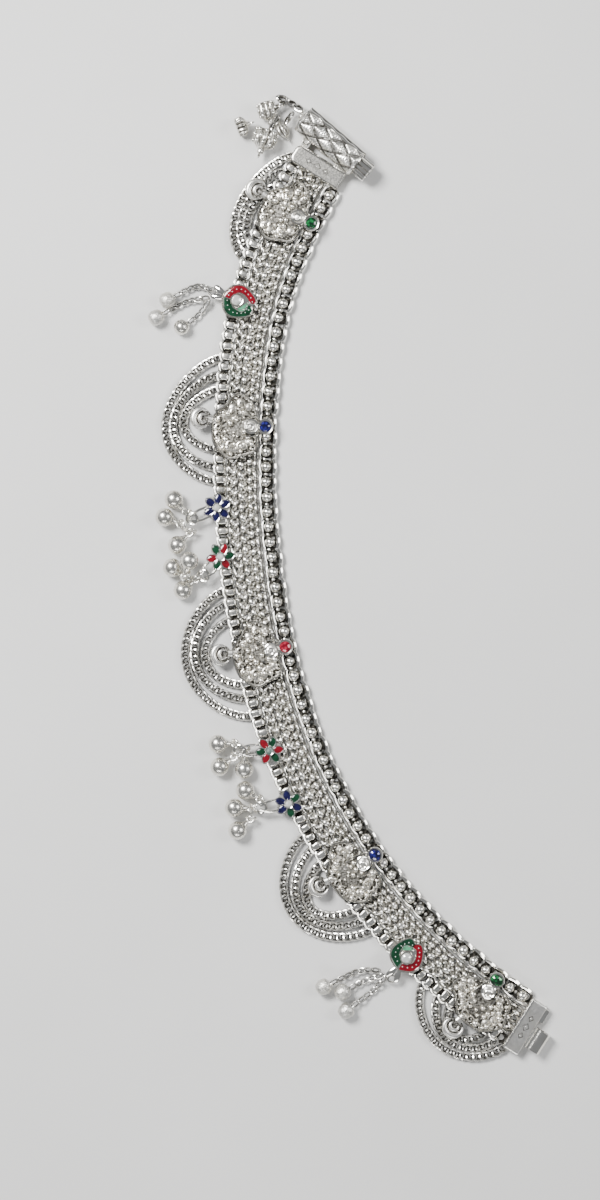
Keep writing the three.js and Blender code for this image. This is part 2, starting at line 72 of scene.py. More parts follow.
# ---- band places ----
def band_place(s):
    x, y, heading = BAND_START
    left = s
    for i, (length, turn) in enumerate(BAND_ARCS):
        last = i == len(BAND_ARCS) - 1
        run = left if last else min(left, length)
        radius = length / math.radians(turn)
        end = heading + run / radius
        x += radius * (math.sin(end) - math.sin(heading))
        y -= radius * (math.cos(end) - math.cos(heading))
        heading = end
        left -= run
        if left <= 0:
            break
    return x, y, heading


def band_point(s, u, z=0.0):
    x, y, heading = band_place(s)
    return np.array([x + u * math.sin(heading), y - u * math.cos(heading), z])


def band_path(rows):
    return np.array([band_point(*row) for row in rows])


def station(s, u=0.0, z=0.0, turn=0.0):
    """4x4 matrix whose X points outwards and Y along the band, at (s, u)."""
    heading = band_place(s)[2]
    angle = heading - math.pi / 2 + math.radians(turn)
    c, d = math.cos(angle), math.sin(angle)
    m = np.eye(4)
    m[:3, :3] = [[c, -d, 0], [d, c, 0], [0, 0, 1]]
    m[:3, 3] = band_point(s, u, z)
    return m


def local_of(matrix, point):
    return (np.linalg.inv(matrix) @ np.append(point, 1.0))[:3]


# ---- shapes as arrays: (vertices, faces of four corners) ----
def unit(v):
    return v / np.maximum(np.linalg.norm(v, axis=-1, keepdims=True), 1e-9)


def sweep(path, radius, sides=8, closed=False, up=(0, 0, 1), flat=1.0):
    """A tube along a path. radius may vary along it; flat scales it along up."""
    path = np.asarray(path, float)
    n = len(path)
    if closed:
        tangent = unit(np.roll(path, -1, 0) - np.roll(path, 1, 0))
    else:
        tangent = unit(np.gradient(path, axis=0))
    side = unit(np.cross(tangent, np.asarray(up, float)))
    top = np.cross(side, tangent)
    radius = np.broadcast_to(np.asarray(radius, float), (n,))
    angle = 2 * math.pi * np.arange(sides) / sides
    ring = (np.cos(angle)[None, :, None] * side[:, None] + flat * np.sin(angle)[None, :, None] * top[:, None])
    verts = (path[:, None] + ring * radius[:, None, None]).reshape(-1, 3)
    i, j = np.meshgrid(np.arange(n if closed else n - 1), np.arange(sides), indexing="ij")
    a = i * sides + j
    b = i * sides + (j + 1) % sides
    c = ((i + 1) % n) * sides + (j + 1) % sides
    d = ((i + 1) % n) * sides + j
    faces = np.stack([a, b, c, d], -1).reshape(-1, 4)
    if not closed:
        verts = np.vstack([verts, path[0], path[-1]])
        k = np.arange(sides)
        first = np.stack([np.full(sides, n * sides), (k + 1) % sides, k, k], -1)
        base = (n - 1) * sides
        final = np.stack([np.full(sides, n * sides + 1), base + k, base + (k + 1) % sides,
                          base + (k + 1) % sides], -1)
        faces = np.vstack([faces, first, final])
    return verts, faces


def turned(profile, sides=24):
    """Revolves (radius, height) rows about Z; rows on the axis close the ends."""
    profile = np.asarray(profile, float)
    angle = 2 * math.pi * np.arange(sides) / sides
    verts = np.stack([profile[:, None, 0] * np.cos(angle), profile[:, None, 0] * np.sin(angle),
                      np.repeat(profile[:, 1:2], sides, 1)], -1).reshape(-1, 3)
    i, j = np.meshgrid(np.arange(len(profile) - 1), np.arange(sides), indexing="ij")
    a = i * sides + j
    b = i * sides + (j + 1) % sides
    faces = np.stack([a, b, b + sides, a + sides], -1).reshape(-1, 4)
    return verts, faces


def ball(radius, sides=20, rows=12, squash=1.0):
    angle = np.linspace(-math.pi / 2, math.pi / 2, rows + 1)
    return turned(np.stack([radius * np.cos(angle), squash * radius * np.sin(angle)], -1), sides)


def ring(radius, wire, steps=28, sides=8, centre=(0, 0, 0), axis=(0, 0, 1), flat=1.0):
    axis = unit(np.asarray(axis, float))
    first = unit(np.cross(axis, [0.3, 0.9, 0.31]))
    second = np.cross(axis, first)
    t = 2 * math.pi * np.arange(steps) / steps
    path = np.asarray(centre) + radius * (np.cos(t)[:, None] * first + np.sin(t)[:, None] * second)
    return sweep(path, wire, sides, True, axis, flat)


def polar_plate(outline, height, base, rings=40, floor=None):
    """A plate over a closed outline (n, 2) about its middle. height(x, y, edge) gives its top, where
    edge is 0 in the middle and 1 on the outline. The underside is flat at base."""
    outline = np.asarray(outline, float)
    middle = outline.mean(0)
    n = len(outline)
    share = np.linspace(0, 1, rings + 1)[1:]
    flat = middle + share[:, None, None] * (outline - middle)
    x, y = flat[..., 0], flat[..., 1]
    edge = np.repeat(share[:, None], n, 1)
    z = height(x, y, edge)
    centre_z = height(np.array([[middle[0]]]), np.array([[middle[1]]]), np.zeros((1, 1)))[0, 0]
    top = np.concatenate([[[*middle, centre_z]], np.stack([x, y, z], -1).reshape(-1, 3)])
    under = np.column_stack([outline, np.full(n, base)])
    verts = np.vstack([top, under, [[*middle, base]]])
    k = np.arange(n)
    nxt = (k + 1) % n
    fan = np.stack([np.zeros(n, int), 1 + k, 1 + nxt, 1 + nxt], -1)
    i, j = np.meshgrid(np.arange(rings - 1), k, indexing="ij")
    a = 1 + i * n + j
    b = 1 + i * n + (j + 1) % n
    grid = np.stack([a, a + n, b + n, b], -1).reshape(-1, 4)
    last = 1 + (rings - 1) * n
    wall = np.stack([last + k, last + n + k, last + n + nxt, last + nxt], -1)
    bottom = np.stack([np.full(n, len(verts) - 1), last + n + nxt, last + n + k, last + n + k], -1)
    return verts, np.vstack([fan, grid, wall, bottom])


def smooth_line(points, count=60, closed=False):
    """A Catmull-Rom line through a few points."""
    p = np.asarray(points, float)
    if closed:
        p = np.vstack([p[-1], p, p[0], p[1]])
    else:
        p = np.vstack([2 * p[0] - p[1], p, 2 * p[-1] - p[-2]])
    spans = len(p) - 3
    t = np.linspace(0, spans, count, endpoint=not closed)
    k = np.minimum(t.astype(int), spans - 1)
    f = (t - k)[:, None]
    a, b, c, d = p[k], p[k + 1], p[k + 2], p[k + 3]
    return 0.5 * (2 * b + (c - a) * f + (2 * a - 5 * b + 4 * c - d) * f ** 2 + (3 * b - a - 3 * c + d) * f ** 3)


def even_steps(path, pitch, start=0.0, end=0.0):
    """Places, directions along a path at an even pitch."""
    path = np.asarray(path, float)
    length = np.concatenate([[0], np.cumsum(np.linalg.norm(np.diff(path, axis=0), axis=1))])
    room = length[-1] - start - end
    count = max(1, int(round(room / pitch)))
    at = start + (np.arange(count) + 0.5) * room / count
    places = np.stack([np.interp(at, length, path[:, k]) for k in range(3)], -1)
    ahead = np.stack([np.interp(at + 0.3, length, path[:, k]) for k in range(3)], -1)
    behind = np.stack([np.interp(at - 0.3, length, path[:, k]) for k in range(3)], -1)
    return places, unit(ahead - behind), room / count


class Piece:
    """Gathers shapes in millimetres, each with a material, and makes one mesh object of them."""

    def __init__(self, name):
        self.name = name
        self.parts = []
        self.materials = []

    def add(self, shape, material, matrix=None, soil=0.0):
        verts, faces = shape
        verts = np.asarray(verts, float)
        if matrix is not None:
            verts = verts @ matrix[:3, :3].T + matrix[:3, 3]
        if material not in self.materials:
            self.materials.append(material)
        # Painted shade per corner: 0 for none, 1 for full shade
        soil = np.broadcast_to(np.asarray(soil, float), (len(verts),))
        self.parts.append((verts, np.asarray(faces), self.materials.index(material), soil))
        return self

    def make(self, *nodes, body=ROOT, slot="silver_plate", sharp=38):
        verts = np.vstack([part[0] for part in self.parts]) * MM
        offsets = np.cumsum([0] + [len(part[0]) for part in self.parts])
        faces = np.vstack([part[1] + offset for part, offset in zip(self.parts, offsets)])
        index = np.concatenate([np.full(len(part[1]), part[2]) for part in self.parts])
        soil = np.concatenate([part[3] for part in self.parts])
        corners = [row[:3] if row[2] == row[3] else row for row in faces.tolist()]
        mesh = bpy.data.meshes.new(self.name)
        mesh.from_pydata(verts.tolist(), [], corners)
        mesh.polygons.foreach_set("material_index", index.astype(np.int32))
        for material in self.materials:
            mesh.materials.append(material)
        # The painted shade per corner, kept as a mesh attribute for the silver
        mesh.attributes.new("soil", "FLOAT", "POINT").data.foreach_set("value", soil.astype(np.float32))
        mesh.shade_smooth()
        mesh.set_sharp_from_angle(angle=math.radians(sharp))
        mesh.validate()
        piece = bpy.data.objects.new(self.name, mesh)
        bpy.context.scene.collection.objects.link(piece)
        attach(piece, body)
        if nodes:
            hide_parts(*nodes)
        return piece


# ---- materials ----
def shader(name, base, roughness, metallic=1.0):
    material = bpy.data.materials.new(name)
    material.use_nodes = True
    tree = material.node_tree
    bsdf = tree.nodes["Principled BSDF"]
    bsdf.inputs["Metallic"].default_value = metallic
    bsdf.inputs["Base Color"].default_value = (*base, 1)
    bsdf.inputs["Roughness"].default_value = roughness
    return material, tree, bsdf


def noise(tree, scale, detail=4.0, rough=0.55):
    coord = tree.nodes.new("ShaderNodeTexCoord")
    node = tree.nodes.new("ShaderNodeTexNoise")
    node.inputs["Scale"].default_value = scale
    node.inputs["Detail"].default_value = detail
    node.inputs["Roughness"].default_value = rough
    tree.links.new(coord.outputs["Object"], node.inputs["Vector"])
    return node.outputs["Fac"]


def ramp(tree, value, low, high, start=0.0, end=1.0):
    node = tree.nodes.new("ShaderNodeMapRange")
    node.clamp = True
    tree.links.new(value, node.inputs["Value"])
    node.inputs["From Min"].default_value = low
    node.inputs["From Max"].default_value = high
    node.inputs["To Min"].default_value = start
    node.inputs["To Max"].default_value = end
    return node.outputs["Result"]


def blend_colour(tree, factor, first, second):
    node = tree.nodes.new("ShaderNodeMix")
    node.data_type = "RGBA"
    for socket, value in ((node.inputs[6], first), (node.inputs[7], second)):
        if isinstance(value, tuple):
            socket.default_value = (*value, 1)
        else:
            tree.links.new(value, socket)
    tree.links.new(factor, node.inputs[0])
    return node.outputs[2]


def bump(tree, bsdf, height, strength, distance):
    node = tree.nodes.new("ShaderNodeBump")
    node.inputs["Strength"].default_value = strength
    node.inputs["Distance"].default_value = distance * MM
    tree.links.new(height, node.inputs["Height"])
    tree.links.new(node.outputs["Normal"], bsdf.inputs["Normal"])
    return node


def combine(tree, first, second, operation="MAXIMUM"):
    node = tree.nodes.new("ShaderNodeMath")
    node.operation = operation
    node.use_clamp = True
    for socket, value in zip(node.inputs, (first, second)):
        if isinstance(value, float):
            socket.default_value = value
        else:
            tree.links.new(value, socket)
    return node.outputs["Value"]


SILVER = (0.90, 0.88, 0.83)
WARM_SILVER = (0.80, 0.775, 0.70)
# Near-black colour of the painted shade in crevices and under parts
PAINTED_SHADE_TONE = (0.045, 0.042, 0.036)


def silver(name, roughness, spread, tone=SILVER, stipple=0.0, stipple_scale=4000.0, shade_strength=1.0):
    """Silver with worn gloss, fine scratches and faint warm stains, and painted shade: near-black where each corner's
    shade value is high, broken up by fine noise.
    """
    material, tree, bsdf = shader(name, tone, roughness)
    soil = tree.nodes.new("ShaderNodeAttribute")
    soil.attribute_name = "soil"
    cloud = noise(tree, 260.0, 5.0)
    speck = noise(tree, 2600.0, 3.0)
    # Painted shade: each corner's shade value plus fine noise sets how far the silver turns to the shade tone
    shade_level = combine(tree, soil.outputs["Fac"], ramp(tree, speck, 0.3, 0.7, -0.25, 0.25), "ADD")
    dark = ramp(tree, shade_level, 0.25, 0.8, 0.0, shade_strength)
    stained = blend_colour(tree, ramp(tree, cloud, 0.4, 0.75), tone, WARM_SILVER)
    tree.links.new(blend_colour(tree, dark, stained, PAINTED_SHADE_TONE), bsdf.inputs["Base Color"])
    worn = ramp(tree, speck, 0.25, 0.8, roughness - spread, roughness + spread)
    tree.links.new(combine(tree, worn, ramp(tree, dark, 0.0, 1.0, 0.0, 0.35), "ADD"),
                   bsdf.inputs["Roughness"])
    fine = noise(tree, stipple_scale, 2.0)
    bump(tree, bsdf, fine, 0.12 + stipple, 0.012 + stipple * 0.2)
    return material


def enamel(name, deep, light):
    """Glassy enamel over silver: deeper where it pools, with a few pits."""
    material, tree, bsdf = shader(name, deep, 0.12, 0.0)
    pool = noise(tree, 900.0, 3.0)
    tree.links.new(blend_colour(tree, ramp(tree, pool, 0.35, 0.75), deep, light), bsdf.inputs["Base Color"])
    tree.links.new(ramp(tree, noise(tree, 3000.0), 0.3, 0.8, 0.06, 0.22), bsdf.inputs["Roughness"])
    bsdf.inputs["Coat Weight"].default_value = 0.8
    bsdf.inputs["Coat Roughness"].default_value = 0.05
    bump(tree, bsdf, pool, 0.25, 0.08)
    return material


def glass_stone(name, colour, painted_glint):
    """Foiled glass: a dark body with bright patches painted in as the foil's inner glints, and a glossy face."""
    material, tree, bsdf = shader(name, colour, 0.05, 0.35)
    cell = tree.nodes.new("ShaderNodeTexVoronoi")
    cell.inputs["Scale"].default_value = 1100.0
    coord = tree.nodes.new("ShaderNodeTexCoord")
    tree.links.new(coord.outputs["Object"], cell.inputs["Vector"])
    tree.links.new(blend_colour(tree, ramp(tree, cell.outputs["Distance"], 0.05, 0.6), painted_glint, colour),
                   bsdf.inputs["Base Color"])
    tree.links.new(ramp(tree, noise(tree, 1500.0), 0.2, 0.8, 0.03, 0.12), bsdf.inputs["Roughness"])
    bsdf.inputs["Coat Weight"].default_value = 1.0
    bsdf.inputs["Coat Roughness"].default_value = 0.02
    return material


LINK = silver("link silver", 0.24, 0.10)
FACET = silver("diamond cut silver", 0.12, 0.06)
STRUCK = silver("struck silver", 0.30, 0.10, stipple=0.15, stipple_scale=2600.0)
BRIGHT = silver("polished silver", 0.13, 0.06)
SPUN = silver("spun silver", 0.28, 0.09, tone=(0.70, 0.68, 0.63), shade_strength=0.85)
GILT = silver("warm struck silver", 0.28, 0.10, tone=(0.86, 0.82, 0.73), stipple=0.08)
SATIN = silver("satin silver", 0.34, 0.08, tone=(0.88, 0.86, 0.82))
# A darker copy of the silver for the lower links: painted shade between the upper links
SHADED_UNDER = silver("shade darkened silver", 0.38, 0.10, tone=(0.50, 0.48, 0.43))
FROST = silver("frosted silver", 0.46, 0.08, (0.66, 0.65, 0.62), 0.8, 1800.0)
RED = enamel("red enamel", (0.11, 0.0, 0.005), (0.22, 0.001, 0.010))
GREEN = enamel("green enamel", (0.0, 0.018, 0.006), (0.002, 0.055, 0.02))
PALE_GREEN = enamel("pale green enamel", (0.03, 0.24, 0.11), (0.12, 0.42, 0.24))
BLUE = enamel("blue enamel", (0.002, 0.001, 0.022), (0.006, 0.006, 0.065))
PEARL = enamel("pearl enamel", (0.78, 0.78, 0.74), (0.9, 0.9, 0.88))
# Each glass: body colour, then the colour of its painted glints
GREEN_GLASS = glass_stone("green glass", (0.0, 0.022, 0.006), (0.02, 0.26, 0.07))
BLUE_GLASS = glass_stone("blue glass", (0.002, 0.002, 0.035), (0.03, 0.03, 0.30))
RED_GLASS = glass_stone("red glass", (0.20, 0.0, 0.012), (0.62, 0.05, 0.09))
CLEAR_GLASS = glass_stone("clear glass", (0.62, 0.63, 0.60), (0.98, 0.98, 0.96))
SMOKE_GLASS = glass_stone("smoke glass", (0.13, 0.20, 0.17), (0.55, 0.66, 0.60))


# ---- links ----
def curb_link(pitch, width, wire, twist, height, steps=24, sides=8, square=1.0):
    """A twisted link, pressed flat to height, along X. square above 1 gives straighter sides."""
    half = pitch / 2 + wire
    reach = width / 2 - wire
    t = 2 * math.pi * np.arange(steps) / steps
    c, d = np.cos(t), np.sin(t)
    x = half * np.sign(c) * np.abs(c) ** (1 / square)
    y = reach * np.sign(d) * np.abs(d) ** (1 / square)
    lean = math.radians(twist) * c
    path = np.stack([x, y * np.cos(lean), y * np.sin(lean)], -1)
    verts, faces = sweep(path, wire, sides, True, (0, 0, 1))
    verts[:, 2] = np.clip(verts[:, 2], -height / 2, height / 2)
    return verts, faces


def chain(piece, path, link, pitch, material, start=0.0, end=0.0, jitter=3.0, mirror=False, up=(0, 0, 1)):
    """Repeats a link along a path; every link lies a little differently."""
    verts, faces = link
    if mirror:
        verts = verts * [1, -1, 1]
        faces = faces[:, ::-1]
        faces = np.where((faces[:, :1] == faces[:, 1:2]), np.roll(faces, -1, 1), faces)
    places, along, _ = even_steps(path, pitch, start, end)
    side = unit(np.cross(np.asarray(up, float), along))
    top = np.cross(along, side)
    tilt = np.radians(rng.normal(0, jitter, len(places)))[:, None]
    side, top = side * np.cos(tilt) + top * np.sin(tilt), top * np.cos(tilt) - side * np.sin(tilt)
    basis = np.stack([along, side, top], 1)
    placed = np.einsum("vk,nkj->nvj", verts, basis) + places[:, None]
    count = len(places)
    every = (faces[None] + (np.arange(count) * len(verts))[:, None, None]).reshape(-1, 4)
    # Painted shade: each link is painted darker on its lower side and towards the hole in its middle
    depth = np.clip(0.5 - verts[:, 2] / max(np.ptp(verts[:, 2]), 0.1), 0, 1)
    reach = np.abs(verts[:, :2]).max(0)
    hole = np.clip((0.78 - np.hypot(verts[:, 0] / reach[0], verts[:, 1] / reach[1])) * 5, 0, 1)
    depth = np.maximum(depth, hole)
    piece.add((placed.reshape(-1, 3), every), material, soil=np.tile(depth, count))
    return places


def repeat(piece, shape, places, material, size=None, soil=0.0, spin=True):
    """Copies a small shape to many places, each turned about Z by a random angle."""
    verts, faces = shape
    count = len(places)
    angle = rng.uniform(0, 2 * math.pi, count) if spin else np.zeros(count)
    c, d = np.cos(angle)[:, None], np.sin(angle)[:, None]
    scale = np.ones(count) if size is None else np.broadcast_to(size, (count,))
    x = (verts[None, :, 0] * c - verts[None, :, 1] * d) * scale[:, None]
    y = (verts[None, :, 0] * d + verts[None, :, 1] * c) * scale[:, None]
    z = verts[None, :, 2] * scale[:, None]
    placed = np.stack([x, y, z], -1) + np.asarray(places)[:, None]
    every = (faces[None] + (np.arange(count) * len(verts))[:, None, None]).reshape(-1, 4)
    piece.add((placed.reshape(-1, 3), every), material, soil=soil)


# ---- the band ----
def strand_path(u, z, wave=0.0, wavelength=5.0, steps=500):
    s = np.linspace(0.4, BAND_LENGTH - 0.4, steps)
    return band_path([(a, u + wave * math.sin(2 * math.pi * a / wavelength), z) for a in s])


def lump(along, across, height, sides=12, rows=7):
    """A domed grain: half sizes along and across the band, and its height."""
    verts, faces = ball(1.0, sides, rows)
    return verts * [across, along, height], faces


def rung(along, across, height):
    """A broad rung of the edge chain: a softly domed bar with rounded corners."""
    t = np.linspace(0, 2 * math.pi, 28, False)
    box = np.stack([np.sign(np.cos(t)) * np.abs(np.cos(t)) ** 0.5 * across / 2,
                    np.sign(np.sin(t)) * np.abs(np.sin(t)) ** 0.5 * along / 2], -1)
    return polar_plate(box, lambda x, y, e: height * (0.55 + 0.45 * np.sqrt(np.maximum(0, 1 - e ** 3))), -0.2, 5)


def row_of(piece, shape, u, z, pitch, material, turn=0.0, start=1.0, wobble=0.08, soil=0.0, alternate=0.0):
    """Repeats a shape along the band, alternately turned, each lying a little differently."""
    verts, faces = shape
    for i, s in enumerate(np.arange(start, BAND_LENGTH - 0.9, pitch)):
        lean = turn + (alternate if i % 2 else -alternate) + rng.normal(0, 4)
        m = station(s, u + rng.normal(0, wobble), z, lean)
        piece.add((verts * rng.uniform(0.93, 1.07), faces), material, m, soil)


def under_links(piece, u, width, z=0.5, deep=1.15):
    """The lower layer of links that shows between the upper links, darker as painted shade, most of all low down."""
    link = curb_link(2.1, width, 0.42, 30, 1.0, 14, 6)
    verts, faces = link
    low = Piece("low")
    chain(low, strand_path(u, z), link, 2.1, SHADED_UNDER, jitter=2.0)
    shape = low.parts[0]
    # Painted shade: lower corners darker; deep sets how dark the layer is painted
    low_shade = np.clip(deep - 0.75 * shape[0][:, 2], 0.3, 1.0)
    piece.add((shape[0], shape[1]), SHADED_UNDER, None, low_shade)


def edge_chain():
    piece = Piece("edge_chain_links")
    pitch = 2.65
    # deep=1.6 paints this lower layer darker still, as shade in the slots between the rungs
    under_links(piece, 6.35, 3.4, deep=1.6)
    row_of(piece, rung(1.8, 2.7, 0.75), 6.25, 1.2, pitch, LINK, start=1.4)
    arc = np.radians(np.linspace(-72, 72, 13))
    rail = np.stack([0.95 * np.cos(arc), 1.38 * np.sin(arc), 0.25 * np.cos(arc)], -1)
    row_of(piece, sweep(rail, 0.32, 8), 7.05, 1.15, pitch, LINK, start=1.4)
    inner = rail * [-0.8, 1, 1]
    row_of(piece, sweep(inner, 0.34, 8), 5.2, 1.2, pitch, LINK, start=1.4)
    piece.add(sweep(strand_path(4.5, 2.15, 0.16, 5.3), 0.26, 6), BRIGHT)
    return piece.make("edge_chain", slot="silver_chain")


def mesh_columns():
    # name, then its columns of grains: u, first s, pitch, half length, half width, turn, alternate turn
    columns = [
        ("mesh_strand_outer", [(3.55, 1.2, 2.75, 1.35, 0.60, 36, 0), (2.45, 2.0, 2.75, 1.3, 0.58, -36, 0)]),
        ("mesh_strand_middle", [(0.85, 1.4, 2.8, 1.2, 0.86, 10, 12), (-0.32, 1.0, 1.4, 0.52, 0.36, 0, 20)]),
        ("mesh_strand_inner", [(-1.42, 2.2, 2.4, 1.08, 0.70, -8, 10), (-2.85, 1.6, 3.0, 1.38, 0.50, 0, 6)]),
    ]
    for name, grains in columns:
        piece = Piece(name + "_links")
        under_links(piece, float(np.mean([row[0] for row in grains])), 2.6)
        for u, first, pitch, along, across, turn, alternate in grains:
            row_of(piece, lump(along, across, 0.66), u, 1.2, pitch, LINK, turn, first, 0.06, 0.0, alternate)
        if name == "mesh_strand_inner":
            piece.add(sweep(strand_path(-3.86, 1.75, 0.10, 7.9), 0.22, 6), BRIGHT)
        piece.make(name, slot="silver_chain")


def heavy_chain():
    """Big flattened links: a bright outer arc, a thinner inner one, a cut bead in each."""
    piece = Piece("heavy_chain_links")
    pitch = 4.1
    # deep=1.6 paints this lower layer darker still, as shade between the big links
    under_links(piece, -6.2, 3.9, deep=1.6)
    arc = np.radians(np.linspace(-78, 78, 17))
    outer = np.stack([-0.75 * np.cos(arc), 2.15 * np.sin(arc), 0.35 * np.cos(arc)], -1)
    inner = np.stack([0.55 * np.cos(arc), 1.95 * np.sin(arc), 0.3 * np.cos(arc)], -1)
    taper = 0.30 + 0.24 * np.cos(arc)
    row_of(piece, sweep(outer, taper, 8), -7.45, 1.35, pitch, BRIGHT, start=2.4)
    row_of(piece, sweep(inner, taper * 0.5, 8), -4.75, 1.35, pitch, LINK, start=2.4)
    cut = lump(1.4, 1.4, 1.35, 16, 9)
    row_of(piece, cut, -5.85, 1.4, pitch, LINK, start=2.4, wobble=0.1)
    tie = lump(0.5, 0.55, 0.5, 8, 5)
    # The small ties sit in painted shade (0.3)
    row_of(piece, tie, -5.75, 1.2, pitch, LINK, start=4.45, wobble=0.12, soil=0.3)
    return piece.make("heavy_chain", slot="silver_chain", sharp=24)


# ---- swags: middle along the band, half span and rise of each nested chain, outermost first ----
SWAGS = [
    (0.16, [(12.6, 14.0, 5.6), (13.6, 10.4, 3.9), (14.6, 6.8, 2.3)]),
    (0.12, [(68.2, 15.8, 12.6), (68.6, 11.8, 10.6), (68.2, 7.6, 8.0)]),
    (0.02, [(128.5, 16.4, 12.8), (128.0, 12.3, 10.3), (128.2, 8.3, 7.6)]),
    (0.0, [(192.5, 14.5, 13.2), (192.8, 10.9, 10.7), (193.2, 7.2, 8.2)]),
    (0.0, [(238.9, 13.0, 9.2), (240.0, 9.0, 7.0), (240.2, 5.4, 5.0)]),
]


def swag(index, skew, rows):
    piece = Piece(f"swag_{index}_links")
    link = curb_link(1.72, 2.5, 0.40, 26, 1.1, 18, 7, 1.4)
    for row, (middle, half, rise) in enumerate(rows):
        across = np.linspace(-1, 1, 80)
        leaned = across - skew * (1 - across ** 2)
        reach = EDGE - 0.5 + (rise + 0.5) * np.maximum(0, 1 - leaned ** 2) ** 0.72
        path = band_path([(middle + a * half, u, 0.95 + 0.05 * row) for a, u in zip(across, reach)])
        chain(piece, path, link, 1.72, LINK, jitter=4.0, mirror=row == 1)
    return piece.make(f"swag_{index}", slot="silver_chain")


# ---- medallions ----
LEAF = [(8.2, -2.6), (5.2, -5.6), (2.3, -8.8), (-0.8, -7.8), (-3.0, -4.5), (-3.7, 0), (-3.5, 3.4),
        (-3.1, 6.8), (0.2, 8.1), (4.0, 9.0), (7.8, 5.4), (8.6, 1.6)]
COLLET_U = -5.6
SCROLLS = [(6.9, -1.6, 0.85), (7.4, 0.6, 0.7), (7.3, 2.5, 0.7), (6.8, 4.3, 0.65), (5.7, 6.0, 0.6)]
LOBES = [(5.3, 5.0, 1.5), (3.6, 6.2, 1.4), (1.7, 6.0, 1.3), (0.0, 5.2, 1.3), (-1.6, 4.2, 1.2), (4.9, -2.8, 1.4),
         (3.2, -4.6, 1.3), (1.2, -6.2, 1.25), (-0.9, -5.0, 1.2), (2.6, -1.9, 1.1), (0.4, -3.4, 1.1)]


def ridge(distance, width, height):
    return height * np.sqrt(np.maximum(0, 1 - (distance / width) ** 2))


def leaf_relief(x, y, edge):
    """The struck plate: shallow overlapping lobes and a raised border."""
    z = 0.3 * np.sqrt(np.maximum(0, 1 - edge ** 2.4))
    for cx, cy, r in LOBES:
        away = np.hypot(x - cx, y - cy)
        z = np.maximum(z, 0.08 + 0.55 * np.sqrt(np.maximum(0, 1 - (away / r) ** 2)))
    return 2.95 + z + ridge(edge - 0.94, 0.05, 0.3)


def spiral(cx, cy, radius, turns, start, z=3.75):
    t = np.linspace(0, 1, 34)
    angle = math.radians(start) + 2 * math.pi * turns * t
    r = radius * (1 - 0.78 * t)
    return np.stack([cx + r * np.cos(angle), cy + r * np.sin(angle), z + 0.3 * t], -1)


def inside(outline, x, y):
    """True where a place is within the closed outline."""
    a, b = outline, np.roll(outline, -1, 0)
    crosses = (a[:, 1] > y) != (b[:, 1] > y)
    at = a[:, 0] + (y - a[:, 1]) * (b[:, 0] - a[:, 0]) / np.where(b[:, 1] == a[:, 1], 1e-9, b[:, 1] - a[:, 1])
    return bool((crosses & (x < at)).sum() % 2)


def scattered_grains(seed, count=40):
    """Round grains that fill the leaf without touching: u, v, radius."""
    local = np.random.default_rng(seed)
    outline = leaf_outline() * 0.86 + [0.2, 0]
    kept = []
    for _ in range(2600):
        x, y = local.uniform([-3.4, -8], [7.6, 8.2])
        r = local.choice([0.4, 0.56, 0.74, 0.95], p=[0.25, 0.3, 0.27, 0.18])
        clear = all(math.hypot(x - a, y - b) > 0.86 * (r + c) for a, b, c in kept)
        if clear and math.hypot(x + 1.9, y - 0.1) > 2.3 and inside(outline, x, y):
            kept.append((x, y, r))
        if len(kept) == count:
            break
    return kept


def leaf_outline(count=170):
    return smooth_line([(u, v, 0) for u, v in LEAF], count, True)[:, :2]


def crescent(piece, matrix):
    """The curl outside the band: a heavy C, open towards the band, round a domed inner curl."""
    t = np.radians(np.linspace(-128, 128, 60))
    around = np.linspace(0, 2 * math.pi, 60, False)
    plate = np.stack([2.5 * np.cos(around), 2.6 * np.sin(around)], -1)
    # Back plate under the curls, painted in shade (0.75)
    piece.add(polar_plate(plate, lambda x, y, e: np.full_like(x, 2.75), 2.5, 4), SATIN, matrix, 0.75)
    for radius, thick, back in ((2.25, 0.70, 0.0), (1.05, 0.40, 0.4)):
        taper = 0.14 + thick * np.maximum(0, np.cos(t * 0.64)) ** 1.2
        curl = np.stack([radius * np.cos(t) - back, 1.08 * radius * np.sin(t), np.full(60, 3.25)], -1)
        piece.add(sweep(curl, taper, 12, flat=0.85), SATIN, matrix)
    strap = np.array([(-4.4, 0.6, 2.9), (-3.2, 0.3, 3.0), (-1.8, 0, 3.0)])
    # The strap gets a light painted shade (0.2)
    piece.add(sweep(strap, [1.1, 0.95, 1.0], 10, flat=0.5), SATIN, matrix, 0.2)


def collet(piece, matrix, radius, base, top, material=BRIGHT):
    """A bezel: a cup with a rolled rim and a notched foot."""
    profile = [(0, base), (radius * 0.86, base), (radius * 0.95, base + 0.3), (radius * 0.93, top - 0.3),
               (radius, top - 0.12), (radius * 0.96, top), (radius * 0.84, top - 0.05), (radius * 0.80, top - 0.35),
               (0, top - 0.5)]
    piece.add(turned(profile, 32), material, matrix)


def cut_stone(name, node, matrix, radius, base, material, slot, stretch=1.0):
    """A faceted round stone: table, eight bezels, girdle."""
    sides = 16
    profile = [(0, base), (radius * 0.8, base), (radius, base + 0.35), (radius * 0.97, base + 0.5),
               (radius * 0.78, base + 0.85), (radius * 0.5, base + 1.05), (0, base + 1.08)]
    verts, faces = turned(profile, sides)
    verts = verts * [1, stretch, 1]
    piece = Piece(name)
    piece.add((verts, faces), material, matrix)
    return piece.make(node, slot=slot, sharp=4)


